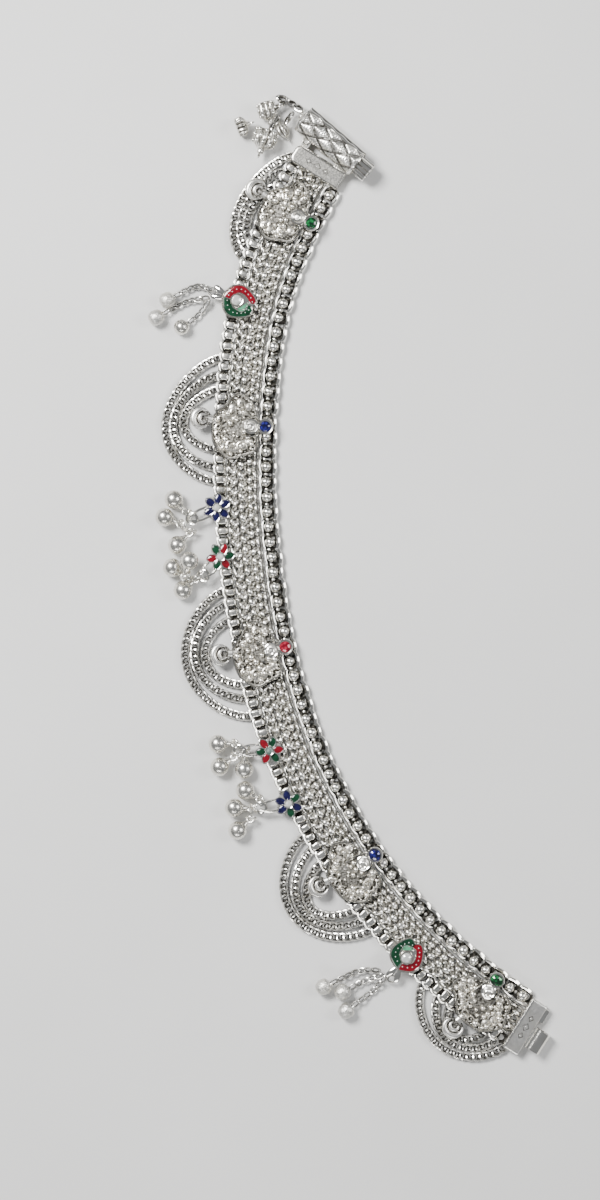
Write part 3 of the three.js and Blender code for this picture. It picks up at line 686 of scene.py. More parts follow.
def medallion(index, s, stone, slot, stretch):
    piece = Piece(f"medallion_{index}_struck")
    m = station(s)
    verts, faces = polar_plate(leaf_outline(), leaf_relief, 2.5, 40)
    # Painted shade: the lower parts of the struck relief are painted darker, up to 0.9
    depth = np.clip((3.72 - verts[:, 2]) / 0.7, 0, 0.9)
    piece.add((verts, faces), GILT, m, depth)
    for u, v, r in scattered_grains(20 + index):
        piece.add(ball(r, 12, 8, 0.85), GILT, m @ shift(u, v, 3.4 + 0.25 * r))
    for k, (u, v, r) in enumerate(SCROLLS):
        piece.add(sweep(spiral(u - 0.5, v, r * 1.5, 1.3, 90 * k), 0.22, 7), GILT, m)
    for k, (u, v) in enumerate([(3.2, -3.6), (1.0, -5.6), (3.6, 5.2), (0.6, 5.4)]):
        piece.add(sweep(spiral(u, v, 1.35, 1.2, 70 * k), 0.26, 7), GILT, m)
    border = smooth_line([(u * 0.965, v * 0.965, 3.62) for u, v in LEAF], 120, True)
    piece.add(sweep(border[:, :3], 0.17, 6, True), BRIGHT, m)
    count = 34
    rim = smooth_line([(u * 0.87 + 0.15, v * 0.87, 3.62) for u, v in LEAF], count, True)
    rim_world = rim @ m[:3, :3].T + m[:3, 3]
    repeat(piece, ball(0.27, 8, 5), rim_world, FACET, rng.uniform(0.8, 1.2, count))
    piece.add(ring(1.75, 0.34, 36, 8, (-1.9, 0.1, 3.95)), BRIGHT, m)
    # The struck dome gets a light painted shade (0.35)
    piece.add(ball(1.75, 24, 8, 0.42), STRUCK, m @ shift(-1.9, 0.1, 3.6), 0.35)
    piece.add(ring(0.85, 0.26, 24, 8, (-1.5, 0.35, 4.25)), BRIGHT, m)
    sheet = smooth_line([(2.6, -2.4, 3.9), (0.2, -2.9, 4.0), (-2.6, -2.3, 4.1), (-4.3, -1.5, 4.1)], 24)
    piece.add(sweep(sheet, 0.22, 6), BRIGHT, m)
    sheet = smooth_line([(1.5, 2.4, 3.9), (-0.4, 2.9, 4.0), (-2.6, 2.6, 4.05), (-4.0, 1.9, 4.1)], 24)
    piece.add(sweep(sheet, 0.22, 6), BRIGHT, m)
    crescent(piece, m @ shift(11.2, -1.6, 0))
    collet(piece, m @ shift(COLLET_U, 0, 0), 2.1, 2.9, 4.6)
    # The strap to the collet sits in painted shade (0.6)
    piece.add(sweep([(-4.4, 0, 3.3), (-2.6, 0, 3.3)], 0.7, 8, flat=0.6), STRUCK, m, 0.6)
    piece.make(f"medallion_{index}", slot="silver_plate")
    cut_stone(f"stone_{index}", f"collet_stone_{index}", m @ shift(COLLET_U, 0, 0), 1.5, 3.9, stone, slot, stretch)


def shift(x, y, z):
    m = np.eye(4)
    m[:3, 3] = (x, y, z)
    return m


def spin(degrees, axis="z"):
    a = math.radians(degrees)
    c, d = math.cos(a), math.sin(a)
    m = np.eye(4)
    m[:3, :3] = {"z": [[c, -d, 0], [d, c, 0], [0, 0, 1]],
                 "y": [[c, 0, d], [0, 1, 0], [-d, 0, c]],
                 "x": [[1, 0, 0], [0, c, -d], [0, d, c]]}[axis]
    return m


# ---- hearts ----
def heart_outline(scale=1.0, count=96):
    """Tip at +X, notch at -X."""
    t = np.linspace(0, 2 * math.pi, count, False)
    radius = 4.55 * (1 + 0.04 * np.cos(t) + 0.05 * np.cos(2 * t) - 0.06 * np.cos(3 * t))
    notch = 1 - 0.26 * np.exp(-((t - math.pi) / 0.26) ** 2)
    tip = 1 + 0.09 * np.exp(-(np.minimum(t, 2 * math.pi - t) / 0.3) ** 2)
    return np.stack([radius * notch * tip * np.cos(t), 1.04 * radius * notch * np.sin(t)], -1) * scale


def band_of_enamel(piece, matrix, from_angle, to_angle, inner, outer, z, material):
    """A pool of enamel between two scaled heart outlines, over a stretch of angle."""
    outline = heart_outline(1.0, 240)
    angle = np.degrees(np.arctan2(outline[:, 1], outline[:, 0])) % 360
    span = (to_angle - from_angle) % 360
    along = (angle - from_angle) % 360
    keep = np.where(along <= span)[0]
    keep = keep[np.argsort(along[keep])]
    middle = outline[keep]
    rows = np.linspace(inner, outer, 7)
    swell = np.sin(np.linspace(0, math.pi, 7)) * 0.14
    verts = np.stack([np.column_stack([middle * r, np.full(len(middle), z + h)])
                      for r, h in zip(rows, swell)], 0).reshape(-1, 3)
    n = len(middle)
    i, j = np.meshgrid(np.arange(6), np.arange(n - 1), indexing="ij")
    a = i * n + j
    faces = np.stack([a, a + n, a + n + 1, a + 1], -1).reshape(-1, 4)
    piece.add((verts, faces), material, matrix)
    edge = np.vstack([verts.reshape(7, n, 3)[-1], verts.reshape(7, n, 3)[0][::-1]])
    piece.add(sweep(edge + [0, 0, 0.06], 0.15, 6, True), BRIGHT, matrix)
    dots = verts.reshape(7, n, 3)[3][6:-6:14]
    for dot in dots:
        piece.add(ball(0.14, 8, 5), PEARL, matrix @ shift(*(dot + [0, 0, 0.08])))


def heart(index, s, u, turn, red, green):
    piece = Piece(f"heart_{index}_enamel")
    m = station(s, u, 0, turn)
    top = 3.75
    dish = lambda x, y, e: top - 0.18 + 0.3 * np.clip((e - 0.93) / 0.05, 0, 1)
    # The heart's plate gets a light painted shade (0.15)
    piece.add(polar_plate(heart_outline(), dish, 2.5, 24), BRIGHT, m, 0.15)
    band_of_enamel(piece, m, *red, 0.50, 0.92, top - 0.02, RED)
    band_of_enamel(piece, m, *green, 0.46, 0.92, top - 0.02, GREEN)
    collet(piece, m @ shift(1.0, 0.1 * (-1) ** index, 0), 1.75, 3.5, 4.75)
    hand = 1 if index == 1 else -1
    drop = smooth_line([(0.2, 2.2 * hand, top + 0.1), (-1.6, 1.9 * hand, top + 0.1), (-2.2, 0.4 * hand, top + 0.1),
                        (-1.9, -0.7 * hand, top + 0.1), (-1.1, 0.3 * hand, top + 0.1), (-0.5, 1.2 * hand, top + 0.1)], 40, True)
    piece.add(polar_plate(drop[:, :2][::hand], lambda x, y, e: top + 0.05 + 0.12 * (1 - e ** 2), top - 0.3, 6),
              PALE_GREEN, m)
    piece.add(sweep(drop, 0.13, 6, True), BRIGHT, m)
    fold_bail(piece, m)
    piece.make(f"heart_{index}", slot="enamel")
    cut_stone(f"heart_stone_{index}_cut", f"heart_stone_{index}", m @ shift(1.0, 0.1 * (-1) ** index, 0), 1.36, 4.15,
              CLEAR_GLASS, "clear_glass")


def fold_bail(piece, matrix):
    """Two folded leaves of sheet and a ring, from which the drops hang."""
    for side, lean in ((-1, 20), (1, -14)):
        leaf = [(4.0, side * 0.3), (5.6, side * 1.5), (7.4, side * 1.9), (8.0, side * 1.1), (6.4, side * 0.1)]
        outline = smooth_line([(x, y, 0) for x, y in leaf], 40, True)[:, :2]
        if side < 0:
            outline = outline[::-1]
        lift = lambda x, y, e, k=side: 3.2 - 0.12 * (x - 4) + 0.3 * (1 - e ** 2)
        piece.add(polar_plate(outline[::-1], lift, 2.55, 8), BRIGHT, matrix)
    piece.add(ring(1.0, 0.28, 24, 8, (7.9, 0.2, 2.5), (0.3, 0.2, 0.9)), BRIGHT, matrix)


# ---- drops: start, middle, bead as (s, u); kind of bead ----
DROPS = [
    ((36.4, 13.0), (36.6, 17.6), (41.0, 24.0), "frost"),
    ((38.5, 13.6), (40.6, 19.2), (45.2, 26.0), "frost"),
    ((39.2, 13.2), (42.9, 15.2), (46.4, 19.0), "smooth"),
    ((215.6, 13.0), (212.4, 17.6), (209.6, 27.0), "frost"),
    ((217.0, 13.4), (215.0, 18.4), (213.4, 24.2), "frost"),
    ((217.8, 13.2), (218.2, 18.0), (217.0, 27.0), "frost"),
]


def drop(index, start, middle, bead, kind):
    piece = Piece(f"drop_{index}_links")
    centre = band_point(*bead, 2.1)
    route = smooth_line([band_point(*start, 2.3), band_point(*middle, 1.0), centre], 60)
    away = np.linalg.norm(route - centre, axis=1)
    route = route[:max(8, int(np.argmax(away < 2.2)))]
    link = curb_link(1.9, 1.75, 0.26, 30, 0.8, 20, 8)
    chain(piece, route, link, 1.9, LINK, jitter=16.0)
    direction = unit(route[-1] - route[-4])
    basis = facing(direction, centre)
    if kind == "frost":
        angle = np.linspace(-82, 82, 19)
        r = 2.05 * np.cos(np.radians(angle)) ** 0.55
        profile = [(0, -1.95)] + [(a, 1.95 * math.sin(math.radians(b))) for a, b in zip(r, angle)] + [(0, 1.95)]
        verts, faces = turned(profile, 44)
        around = np.arctan2(verts[:, 1], verts[:, 0])
        if index > 3:
            narrow = 1 - 0.16 * verts[:, 2:] / 2
            verts = verts * np.concatenate([narrow, narrow, np.ones_like(narrow)], 1)
        mill = 1 + 0.045 * np.sin(around * 11) * np.sin(verts[:, 2] * 7)
        verts = verts * np.stack([mill, mill, np.ones_like(mill)], -1)
        piece.add((verts, faces), FROST, basis)
    else:
        profile = [(0, -2.0), (0.9, -1.9), (1.7, -1.3), (2.05, -0.2), (1.9, 0.7), (1.5, 1.3), (0.9, 1.75), (0, 1.85)]
        piece.add(turned(smooth_profile(profile, 24), 28), SPUN, basis)
        piece.add(ring(1.95, 0.12, 30, 6, (0, 0, -0.4)), BRIGHT, basis)
    piece.add(turned([(0, -2.5), (0.55, -2.5), (0.75, -1.9), (0.6, -1.6), (0, -1.6)], 12), BRIGHT, basis)
    piece.make(f"drop_{index}", slot="silver_chain")


def smooth_profile(rows, count):
    line = smooth_line([(r, h, 0) for r, h in rows], count)
    line[:, 0] = np.maximum(line[:, 0], 0)
    return line[:, :2]


def facing(direction, place):
    """Matrix whose Z runs along direction."""
    z = unit(np.asarray(direction, float))
    x = unit(np.cross([0.01, 0.02, 1.0], z))
    m = np.eye(4)
    m[:3, 0], m[:3, 1], m[:3, 2], m[:3, 3] = x, np.cross(z, x), z, place
    return m


# ---- flowers ----
PETALS = {
    1: [BLUE] * 6,
    2: [RED, GREEN, RED, GREEN, RED, GREEN],
    3: [GREEN, RED, GREEN, RED, GREEN, RED],
    4: [BLUE, GREEN, BLUE, GREEN, BLUE, BLUE],
}
RINGS = [(93.2, 14.1), (107.6, 12.5), (151.9, 13.5), (166.6, 14.2)]


def petal_outline(length, width, count=36):
    t = np.linspace(0, 2 * math.pi, count, False)
    x = length * (0.5 - 0.5 * np.cos(t))
    y = width * 0.5 * np.sign(np.sin(t)) * np.abs(np.sin(t)) ** 1.35 * (0.85 + 0.2 * x / length)
    return np.stack([x, y], -1)


def flower(index, s, u):
    piece = Piece(f"flower_{index}_enamel")
    m = station(s, u)
    top = 3.35
    t = np.linspace(0, 2 * math.pi, 96, False)
    back = 3.35 * (0.78 + 0.22 * np.abs(np.cos(3 * t)))
    # The back plate behind the petals is painted in shade (0.55)
    piece.add(polar_plate(np.stack([back * np.cos(t), back * np.sin(t)], -1),
                          lambda x, y, e: 3.0 + 0.12 * (1 - e), 2.5, 10), LINK, m, 0.55)
    turn0 = {1: 20, 2: 0, 3: -12, 4: 16}[index]
    for k, colour in enumerate(PETALS[index]):
        lean = rng.normal(0, 3)
        p = m @ spin(turn0 + 60 * k + lean) @ shift(0.5, 0, 0)
        outline = petal_outline(3.25, 2.05)
        dome = lambda x, y, e: top + 0.16 * (1 - e ** 2)
        piece.add(polar_plate(outline * [0.9, 0.86] + [0.12, 0], dome, 2.9, 8), colour, p)
        edge = np.column_stack([outline, np.full(len(outline), top + 0.05)])
        piece.add(sweep(edge, 0.15, 7, True), BRIGHT, p)
    collet(piece, m, 1.2, 3.0, 4.45)
    bail(piece, m, index)
    piece.make(f"flower_{index}", slot="enamel")
    stone = SMOKE_GLASS if index == 3 else CLEAR_GLASS
    cut_stone(f"flower_stone_{index}_cut", f"flower_stone_{index}", m, 0.98, 3.9, stone,
              "clear_glass")


def bail(piece, matrix, index):
    """The wire that hooks the balls' ring to the flower."""
    hook = local_of(matrix, band_point(*RINGS[index - 1], 3.4))
    along = unit(hook * [1, 1, 0])
    side = np.array([-along[1], along[0], 0])
    for hand in (-1, 1):
        root = along * 2.6 + side * 1.3 * hand + [0, 0, 2.9]
        middle = root * 0.45 + hook * 0.55 + side * 0.75 * hand
        end = hook + side * 0.5 * hand + along * 0.3
        piece.add(sweep(smooth_line([root, middle, end], 18), 0.42, 8), BRIGHT, matrix)
    piece.add(ring(1.45, 0.38, 28, 8, hook, (0.25, 0.1, 0.95)), BRIGHT, matrix)


# ---- ghungroo balls: s, u, z, then where the stem points ----
BALLS = [
    (88.2, 18.6, 2.45, 92.0, 15.0), (92.4, 21.3, 2.45, 94.5, 17.0), (99.4, 18.5, 2.45, 96.6, 14.8),
    (104.7, 20.4, 2.45, 107.2, 17.2), (103.6, 15.6, 5.2, 106.4, 17.0), (110.5, 18.4, 2.45, 108.4, 14.7),
    (148.7, 18.4, 2.45, 150.0, 14.1), (153.9, 20.0, 2.45, 152.9, 15.1), (156.6, 14.2, 2.45, 152.8, 12.2),
    (161.3, 16.1, 2.45, 164.8, 13.6), (164.0, 20.6, 2.45, 166.0, 16.4), (169.1, 22.4, 2.45, 168.1, 18.1),
]


def ghungroo(index, s, u, z, to_s, to_u):
    piece = Piece(f"ball_{index}_spun")
    centre = band_point(s, u, z)
    aim = band_point(to_s, to_u, z)
    basis = facing(aim - centre, centre)
    angle = np.radians(np.linspace(-90, 62, 22))
    profile = [(BALL_R * math.cos(a), BALL_R * math.sin(a)) for a in angle]
    profile += [(0.98, 2.45), (0.72, 2.9), (0.5, 3.4), (0.42, 3.9), (0, 3.95)]
    profile[0] = (0, -BALL_R)
    piece.add(turned(profile, 36), SPUN, basis)
    piece.add(ring(2.46, 0.05, 48, 6, (0, 0, 0.2)), BRIGHT, basis)
    reach = np.linalg.norm(aim - centre)
    lie = np.array([0.35, 0.94, 0.0])
    piece.add(ring(0.85, 0.30, 22, 8, (0, 0, 4.5), lie), LINK, basis)
    piece.add(ring(1.35, 0.34, 24, 8, (0.1, 0, min(reach + 0.4, 6.2)), (0.6, -0.35, 0.7)), LINK, basis)
    piece.make(f"ball_{index}", slot="silver_ball", sharp=50)


# ---- the clasp ----
BARREL_R = 4.1
BARREL_FROM, BARREL_TO = (-10.1, 10.8), (-9.0, -7.8)
SLOT = (16.0, 46.0)                                    # degrees above the far side


def barrel_axes():
    start, end = band_point(*BARREL_FROM, BARREL_R), band_point(*BARREL_TO, BARREL_R)
    along = unit(end - start)
    m = np.eye(4)
    m[:3, 0], m[:3, 2], m[:3, 3] = along, (0, 0, 1), start
    m[:3, 1] = np.cross(m[:3, 2], along)
    return m, float(np.linalg.norm(end - start))


def lattice(x, around, length):
    """Height of the struck pattern: crossing ridges with hatched leaves between them."""
    turn = around / math.radians(62)
    run = x / 6.2
    first = (run + turn) % 1.0
    second = (run - turn) % 1.0
    a = np.minimum(first, 1 - first)
    b = np.minimum(second, 1 - second)
    cross = np.maximum(ridge(a, 0.075, 0.26), ridge(b, 0.075, 0.26))
    leaf = np.clip(np.minimum(a, b) * 3.2 - 0.25, 0, 1)
    hatch = 0.07 * leaf * np.sin(x * 9.5 + around * 5)
    return 0.42 * np.sqrt(leaf) + hatch + 0.35 * cross


def barrel():
    piece = Piece("barrel_struck")
    m, length = barrel_axes()
    first = math.radians(SLOT[1])
    last = math.radians(SLOT[0] + 360)
    around = np.linspace(first, last, 190)
    x = np.linspace(0, length, 150)
    grid_x, grid_a = np.meshgrid(x, around, indexing="ij")
    fade = np.clip(np.minimum(grid_x, length - grid_x) / 0.8, 0, 1)
    fade *= np.clip(np.minimum(grid_a - first, last - grid_a) / 0.2, 0, 1)
    rise = lattice(grid_x, grid_a, length) * fade
    rim = ridge(np.minimum(grid_x, length - grid_x) - 0.45, 0.42, 0.3)
    radius = BARREL_R - 0.62 + rise + rim
    verts = np.stack([grid_x, radius * np.cos(grid_a), radius * np.sin(grid_a)], -1).reshape(-1, 3)
    n = len(around)
    i, j = np.meshgrid(np.arange(len(x) - 1), np.arange(n - 1), indexing="ij")
    a = i * n + j
    faces = np.stack([a, a + 1, a + n + 1, a + n], -1).reshape(-1, 4)
    # Painted shade: the low parts between the struck ridges are painted dark
    soil = np.clip(1.0 - rise * 3.4, 0, 1).reshape(-1) * fade.reshape(-1)
    inner = verts.copy().reshape(len(x), n, 3)
    inner[..., 1:] = (BARREL_R - 0.95) * np.stack([np.cos(grid_a), np.sin(grid_a)], -1)
    piece.add((verts, faces), STRUCK, m, soil)
    # The inside of the barrel is painted in shade (0.8)
    piece.add((inner.reshape(-1, 3), faces[:, ::-1]), LINK, m, 0.8)
    for angle in (first, last):
        lip = [(a, (BARREL_R - 0.72) * math.cos(angle), (BARREL_R - 0.72) * math.sin(angle))
               for a in np.linspace(0.1, length - 0.1, 60)]
        lip = np.array(lip)
        wave = 0.16 * np.sin(lip[:, 0] * 1.55)
        lip[:, 1] -= wave * math.sin(angle)
        lip[:, 2] += wave * math.cos(angle)
        piece.add(sweep(lip, 0.46, 8, up=(0, math.cos(angle), math.sin(angle))), BRIGHT, m)
    for end in (0.15, length - 0.15):
        arc = np.linspace(first, last, 80)
        hoop = np.stack([np.full(80, end), (BARREL_R - 0.62) * np.cos(arc), (BARREL_R - 0.62) * np.sin(arc)], -1)
        piece.add(sweep(hoop, 0.3, 8, up=(1, 0, 0)), BRIGHT, m)
    cap = [(0, -1.5), (0.5, -1.45), (0.9, -1.15), (1.0, -0.8), (1.5, -0.55), (2.6, -0.4), (3.3, 0.0), (3.5, 0.35), (0, 0.4)]
    # The end cap gets a faint painted shade (0.1)
    piece.add(turned(cap, 36), STRUCK, m @ spin(90, "y"), 0.1)
    return piece


def bevel_bar(from_u, to_u, from_v, to_v, top, bevel=0.25, round_end=0.0):
    """A plate with softened upper edges; its far end may be rounded."""
    outline = []
    corners = [(from_u, from_v), (to_u, from_v), (to_u, to_v), (from_u, to_v)]
    radii = [0.3, max(0.3, round_end), max(0.3, round_end), 0.3]
    for (cu, cv), r, quarter in zip(corners, radii, (180, 270, 0, 90)):
        middle = (cu + (r if cu == from_u else -r), cv + (r if cv == from_v else -r))
        for step in np.linspace(quarter, quarter + 90, 9):
            a = math.radians(step)
            outline.append((middle[0] + r * math.cos(a), middle[1] + r * math.sin(a)))
    outline = np.array(outline)
    dense = smooth_dense(outline, 200)
    dome = lambda x, y, e: top - bevel * np.clip((e - 0.93) / 0.07, 0, 1) ** 2
    return polar_plate(dense, dome, 0.05, 30)


def smooth_dense(outline, count):
    closed = np.vstack([outline, outline[:1]])
    run = np.concatenate([[0], np.cumsum(np.linalg.norm(np.diff(closed, axis=0), axis=1))])
    at = np.linspace(0, run[-1], count, endpoint=False)
    return np.stack([np.interp(at, run, closed[:, k]) for k in range(2)], -1)


def engraving(piece, matrix, middle_u, middle_v, top, step=2.6):
    """Three small lozenges cut into a plate, each with a small bead in its middle."""
    for k in (-1, 0, 1):
        u = middle_u + k * step
        size = 1.05 if k == 0 else 0.8
        shape = [(u - size, middle_v), (u, middle_v - size * 0.8), (u + size, middle_v), (u, middle_v + size * 0.8)]
        line = smooth_dense(np.array(shape), 40)
        path = np.column_stack([line, np.full(40, top + 0.01)])
        # The cut lines are painted in shade (0.75)
        piece.add(sweep(path, 0.11, 6, True, flat=0.6), STRUCK, matrix, 0.75)
        piece.add(ball(0.2, 10, 6, 0.5), BRIGHT, matrix @ shift(u, middle_v, top))


def clasp_socket():
    piece = barrel()
    m = station(0)
    piece.add(bevel_bar(-7.0, 8.0, -5.0, 0.0, 3.2, 0.3, 1.6), SPUN, m, 0.0)
    border = [(u, -4.62, 3.42) for u in np.linspace(-6.9, 6.6, 20)]
    piece.add(sweep(border, 0.36, 8), BRIGHT, m)
    low = [(u, -0.28, 3.1) for u in np.linspace(-6.9, 7.2, 20)]
    piece.add(sweep(low, 0.2, 8), BRIGHT, m)
    engraving(piece, m, 0.6, -2.4, 3.2)
    piece.add(bevel_bar(5.2, 7.4, -7.2, -4.9, 3.4, 0.3, 0.5), STRUCK, m)
    piece.add(ring(0.8, 0.22, 20, 8, (6.6, -6.3, 3.7)), BRIGHT, m)
    return piece.make("clasp_socket", slot="silver_plate")


def lock_pin():
    piece = Piece("lock_pin_fluted")
    m, length = barrel_axes()
    m = m @ shift(length - 1.0, 0, 0) @ spin(90, "y")
    sides = 120
    rows = [(0.0, 0.0), (0.97, 0.0), (1.0, 0.2), (1.0, 4.5), (0.98, 4.75), (0.88, 4.9), (0.6, 4.9), (0.56, 4.7),
            (0, 4.7)]
    verts, faces = turned([(r * 2.72, h) for r, h in rows], sides)
    angle = np.arctan2(verts[:, 1], verts[:, 0])
    wall = (np.hypot(verts[:, 0], verts[:, 1]) > 2.3)
    flute = np.where(wall, 1 - 0.13 * np.clip(np.cos(angle * 12), 0, 1) ** 0.6, 1)
    # Painted shade: dark in the flute grooves, 0.3 on the ends
    soil = np.where(wall, np.clip(np.cos(angle * 12), 0, 1) * 0.8, 0.3)
    verts = verts * np.stack([flute, flute, np.ones_like(flute)], -1)
    piece.add((verts, faces), BRIGHT, m, soil)
    # The shank gets a light painted shade (0.2)
    piece.add(turned([(0, -13.4), (1.1, -13.4), (1.33, -13.1), (1.33, 0.3), (0, 0.3)], 24), LINK, m, 0.2)
    for h in np.arange(-12.6, -6, 0.7):
        piece.add(ring(1.33, 0.12, 24, 6, (0, 0, h)), BRIGHT, m)
    return piece.make("lock_pin", body="lock_pin", slot="silver_plate")


def tongue_end():
    piece = Piece("tongue_end_folded")
    m = station(BAND_LENGTH)
    piece.add(bevel_bar(-7.0, 8.0, 0.0, 4.6, 3.2, 0.25), SATIN, m)
    lip = [(u, 0.3, 3.4) for u in np.linspace(-6.9, 7.9, 20)]
    piece.add(sweep(lip, 0.32, 8), BRIGHT, m)
    engraving(piece, m, 0.4, 2.5, 3.2)
    piece.add(bevel_bar(-6.4, -2.4, 4.5, 5.9, 1.6, 0.2), BRIGHT, m)
    t = np.radians(np.linspace(150, 150 - 285, 60))
    outer = np.stack([2.3 * np.cos(t), 2.3 * np.sin(t)], -1)
    inner = np.stack([1.72 * np.cos(t), 1.72 * np.sin(t)], -1)[::-1]
    strap = np.array([(-2.6, 0.55), (-2.6, 0.95)])
    section = np.vstack([outer, inner, strap])
    n = len(section)
    half = 2.9
    rows = []
    for u in (1.9 - half, 1.9 - half + 0.12, 1.9 + half - 0.12, 1.9 + half):
        rows.append(np.column_stack([np.full(n, u), 4.6 + 2.5 + section[:, 0], 2.3 + section[:, 1]]))
    verts = np.array(rows).reshape(-1, 3)
    i, j = np.meshgrid(np.arange(3), np.arange(n), indexing="ij")
    a, b = i * n + j, i * n + (j + 1) % n
    walls = np.stack([a, a + n, b + n, b], -1).reshape(-1, 4)
    half_n = 60
    caps = []
    for base, flip in ((0, 1), (3 * n, -1)):
        for k in range(half_n - 1):
            quad = [base + k, base + k + 1, base + 2 * half_n - 2 - k, base + 2 * half_n - 1 - k]
            caps.append(quad[::flip])
        tail = [base, base + 2 * half_n - 1, base + 2 * half_n, base + 2 * half_n + 1]
        caps.append(tail[::flip])
    piece.add((verts, np.vstack([walls, np.array(caps)])), BRIGHT, m)
    return piece.make("tongue_end_plate", slot="silver_plate")


# ---- bells ----
BELLS = [
    (-0.9, 22.9, 2.6, 3.8, 200, "fluted"),
    (-6.3, 19.4, 2.4, 6.2, 105, "grained"),
    (-0.3, 16.0, 3.1, 6.6, 70, "grained"),
    (-5.3, 13.9, 1.65, 4.8, 120, "pointed"),
]


def bell(index, s, u, radius, length, turn, kind):
    piece = Piece(f"bell_{index}_struck")
    m = np.eye(4)
    m[:3, 3] = band_point(s, u, radius)
    m = m @ spin(turn) @ spin(90, "y") @ shift(0, 0, -length / 2)
    rows = [(0, 0), (0.25, 0.02), (0.30, 0.18), (0.62, 0.28), (0.92, 0.45), (1.0, 0.62), (0.9, 0.85), (0.98, 0.93),
            (0.7, 0.98), (0.3, 0.9), (0, 0.88)]
    if kind == "pointed":
        rows = [(0, 0), (0.5, 0.04), (0.8, 0.2), (1.0, 0.42), (0.85, 0.65), (0.45, 0.85), (0.15, 1.0), (0, 1.0)]
    profile = smooth_profile([(r * radius, h * length) for r, h in rows], 44)
    verts, faces = turned(profile, 72)
    angle = np.arctan2(verts[:, 1], verts[:, 0])
    far = np.hypot(verts[:, 0], verts[:, 1]) / radius
    count = {"fluted": 12, "grained": 8, "pointed": 6}[kind]
    wave = np.abs(np.cos(angle * count / 2))
    factor = 1.04 - 0.28 * (1 - wave) * np.clip(far * 1.4 - 0.3, 0, 1)
    verts = verts * np.stack([factor, factor, np.ones_like(factor)], -1)
    # Painted shade: darker in the grooves between the flutes
    piece.add((verts, faces), SPUN, m, np.clip((1 - wave) * 1.3, 0, 1) * np.clip(far * 1.4 - 0.3, 0, 1))
    if kind == "grained":
        for level, reach in ((0.42, 0.86), (0.66, 0.97), (0.9, 0.9)):
            for k in range(count):
                a = 2 * math.pi * (k + 0.5 * (level == 0.66)) / count
                place = shift(radius * reach * math.cos(a), radius * reach * math.sin(a), length * level)
                piece.add(ball(radius * 0.2, 10, 6), BRIGHT, m @ place)
    piece.add(ring(0.55, 0.2, 18, 8, (0, 0, -0.5), (0.2, 1, 0)), BRIGHT, m)
    piece.make(f"bell_{index}", slot="silver_ball")


def bell_chain():
    piece = Piece("bell_chain_links")
    path = smooth_line([band_point(-10.7, 19.9, 1.2), band_point(-11.4, 16.5, 1.5), band_point(-11.4, 12.6, 3.2)], 30)
    link = curb_link(2.3, 2.3, 0.42, 30, 1.6, 24, 8)
    chain(piece, path, link, 2.3, BRIGHT, jitter=30.0)
    for s, u, to_s, to_u in ((-6.3, 19.4, -10.6, 17.6), (-5.3, 13.9, -9.6, 14.2), (-0.3, 16.0, -7.0, 16.6)):
        ends = [band_point(s, u, 2.6), band_point((s + to_s) / 2, (u + to_u) / 2, 3.0), band_point(to_s, to_u, 2.4)]
        chain(piece, smooth_line(ends, 20), curb_link(1.9, 1.7, 0.30, 30, 1.2, 18, 7), 1.9, BRIGHT, start=1.8, jitter=30.0)
    piece.make("bell_chain", slot="silver_chain")


# ---- stage ----
def floor():
    bpy.ops.mesh.primitive_plane_add(size=12.0, location=(0, 0, 0))
    plane = bpy.context.object
    plane.name = "floor"
    material, tree, bsdf = shader("pale paper", (0.78, 0.775, 0.76), 0.7, 0.0)
    tone = ramp(tree, noise(tree, 14.0, 5.0), 0.3, 0.7)
    tree.links.new(blend_colour(tree, tone, (0.70, 0.695, 0.68), (0.66, 0.655, 0.64)), bsdf.inputs["Base Color"])
    bump(tree, bsdf, noise(tree, 900.0, 4.0), 0.15, 0.1)
    plane.data.materials.append(material)


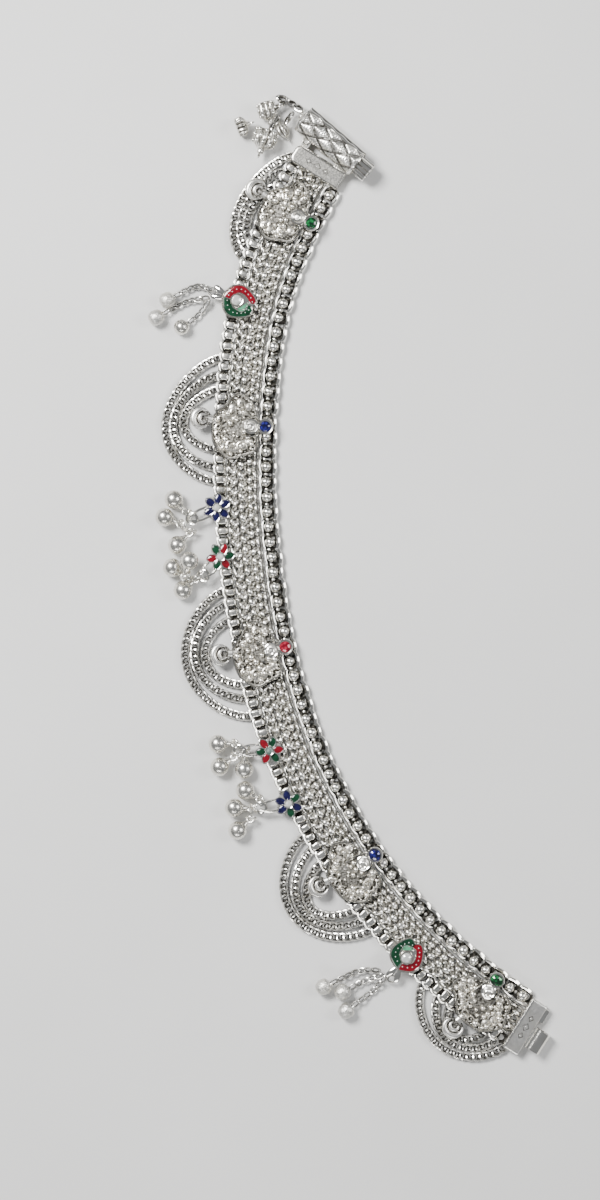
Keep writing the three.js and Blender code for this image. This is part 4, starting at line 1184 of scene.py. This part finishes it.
def light(name, place, size, power, target=(0, 0, 0), size_y=None):
    data = bpy.data.lights.new(name, "AREA")
    data.shape = "RECTANGLE"
    data.size, data.size_y = size, size_y or size
    data.energy = power
    lamp = bpy.data.objects.new(name, data)
    bpy.context.scene.collection.objects.link(lamp)
    lamp.location = place
    aim = np.asarray(target, float) - np.asarray(place, float)
    from mathutils import Vector
    lamp.rotation_euler = Vector(aim).to_track_quat("-Z", "Y").to_euler()


def stage():
    floor()
    light("key", (-0.36, 0.30, 0.60), 0.26, 12.5)
    light("fill", (0.75, 0.15, 0.70), 0.40, 5.0)
    light("strip", (-0.10, -0.85, 0.60), 0.70, 3.0, size_y=0.12)
    world = bpy.data.worlds.new("studio")
    bpy.context.scene.world = world
    world.use_nodes = True
    world.node_tree.nodes["Background"].inputs["Color"].default_value = (0.92, 0.95, 1.0, 1)
    world.node_tree.nodes["Background"].inputs["Strength"].default_value = 0.26


def camera():
    """Straight above, framed as the anklet was seen: a little more room on the inner side."""
    low, high = cad_box
    middle = [(a + b) / 2 for a, b in zip(low, high)]
    distance = 0.75
    frame_height = 0.318
    data = bpy.data.cameras.new("camera")
    data.sensor_width = 36.0
    data.lens = data.sensor_width * distance / frame_height
    data.clip_start = 0.01
    view = bpy.data.objects.new("camera", data)
    bpy.context.scene.collection.objects.link(view)
    view.location = (middle[0] - 0.0129, middle[1] - 0.0061, distance)
    bpy.context.scene.camera = view


camera()
stage()
clasp_socket()
lock_pin()
tongue_end()
edge_chain()
mesh_columns()
heavy_chain()
STONES = [(GREEN_GLASS, "green_glass", 1.0), (BLUE_GLASS, "blue_glass", 1.0), (RED_GLASS, "red_glass", 1.0),
          (BLUE_GLASS, "blue_glass", 1.12), (GREEN_GLASS, "green_glass", 1.12)]
for number, (s, (stone, slot_name, stretch)) in enumerate(zip(MEDALLION_S, STONES), 1):
    medallion(number, s, stone, slot_name, stretch)
heart(1, *HEARTS[0], (195, 5), (5, 185))
heart(2, *HEARTS[1], (0, 180), (180, 355))
for number, (s, u) in enumerate(FLOWERS, 1):
    flower(number, s, u)
for number, row in enumerate(BALLS, 1):
    ghungroo(number, *row)
for number, row in enumerate(DROPS, 1):
    drop(number, *row)
for number, (skew, rows) in enumerate(SWAGS, 1):
    swag(number, skew, rows)
bell_chain()
for number, row in enumerate(BELLS, 1):
    bell(number, *row)
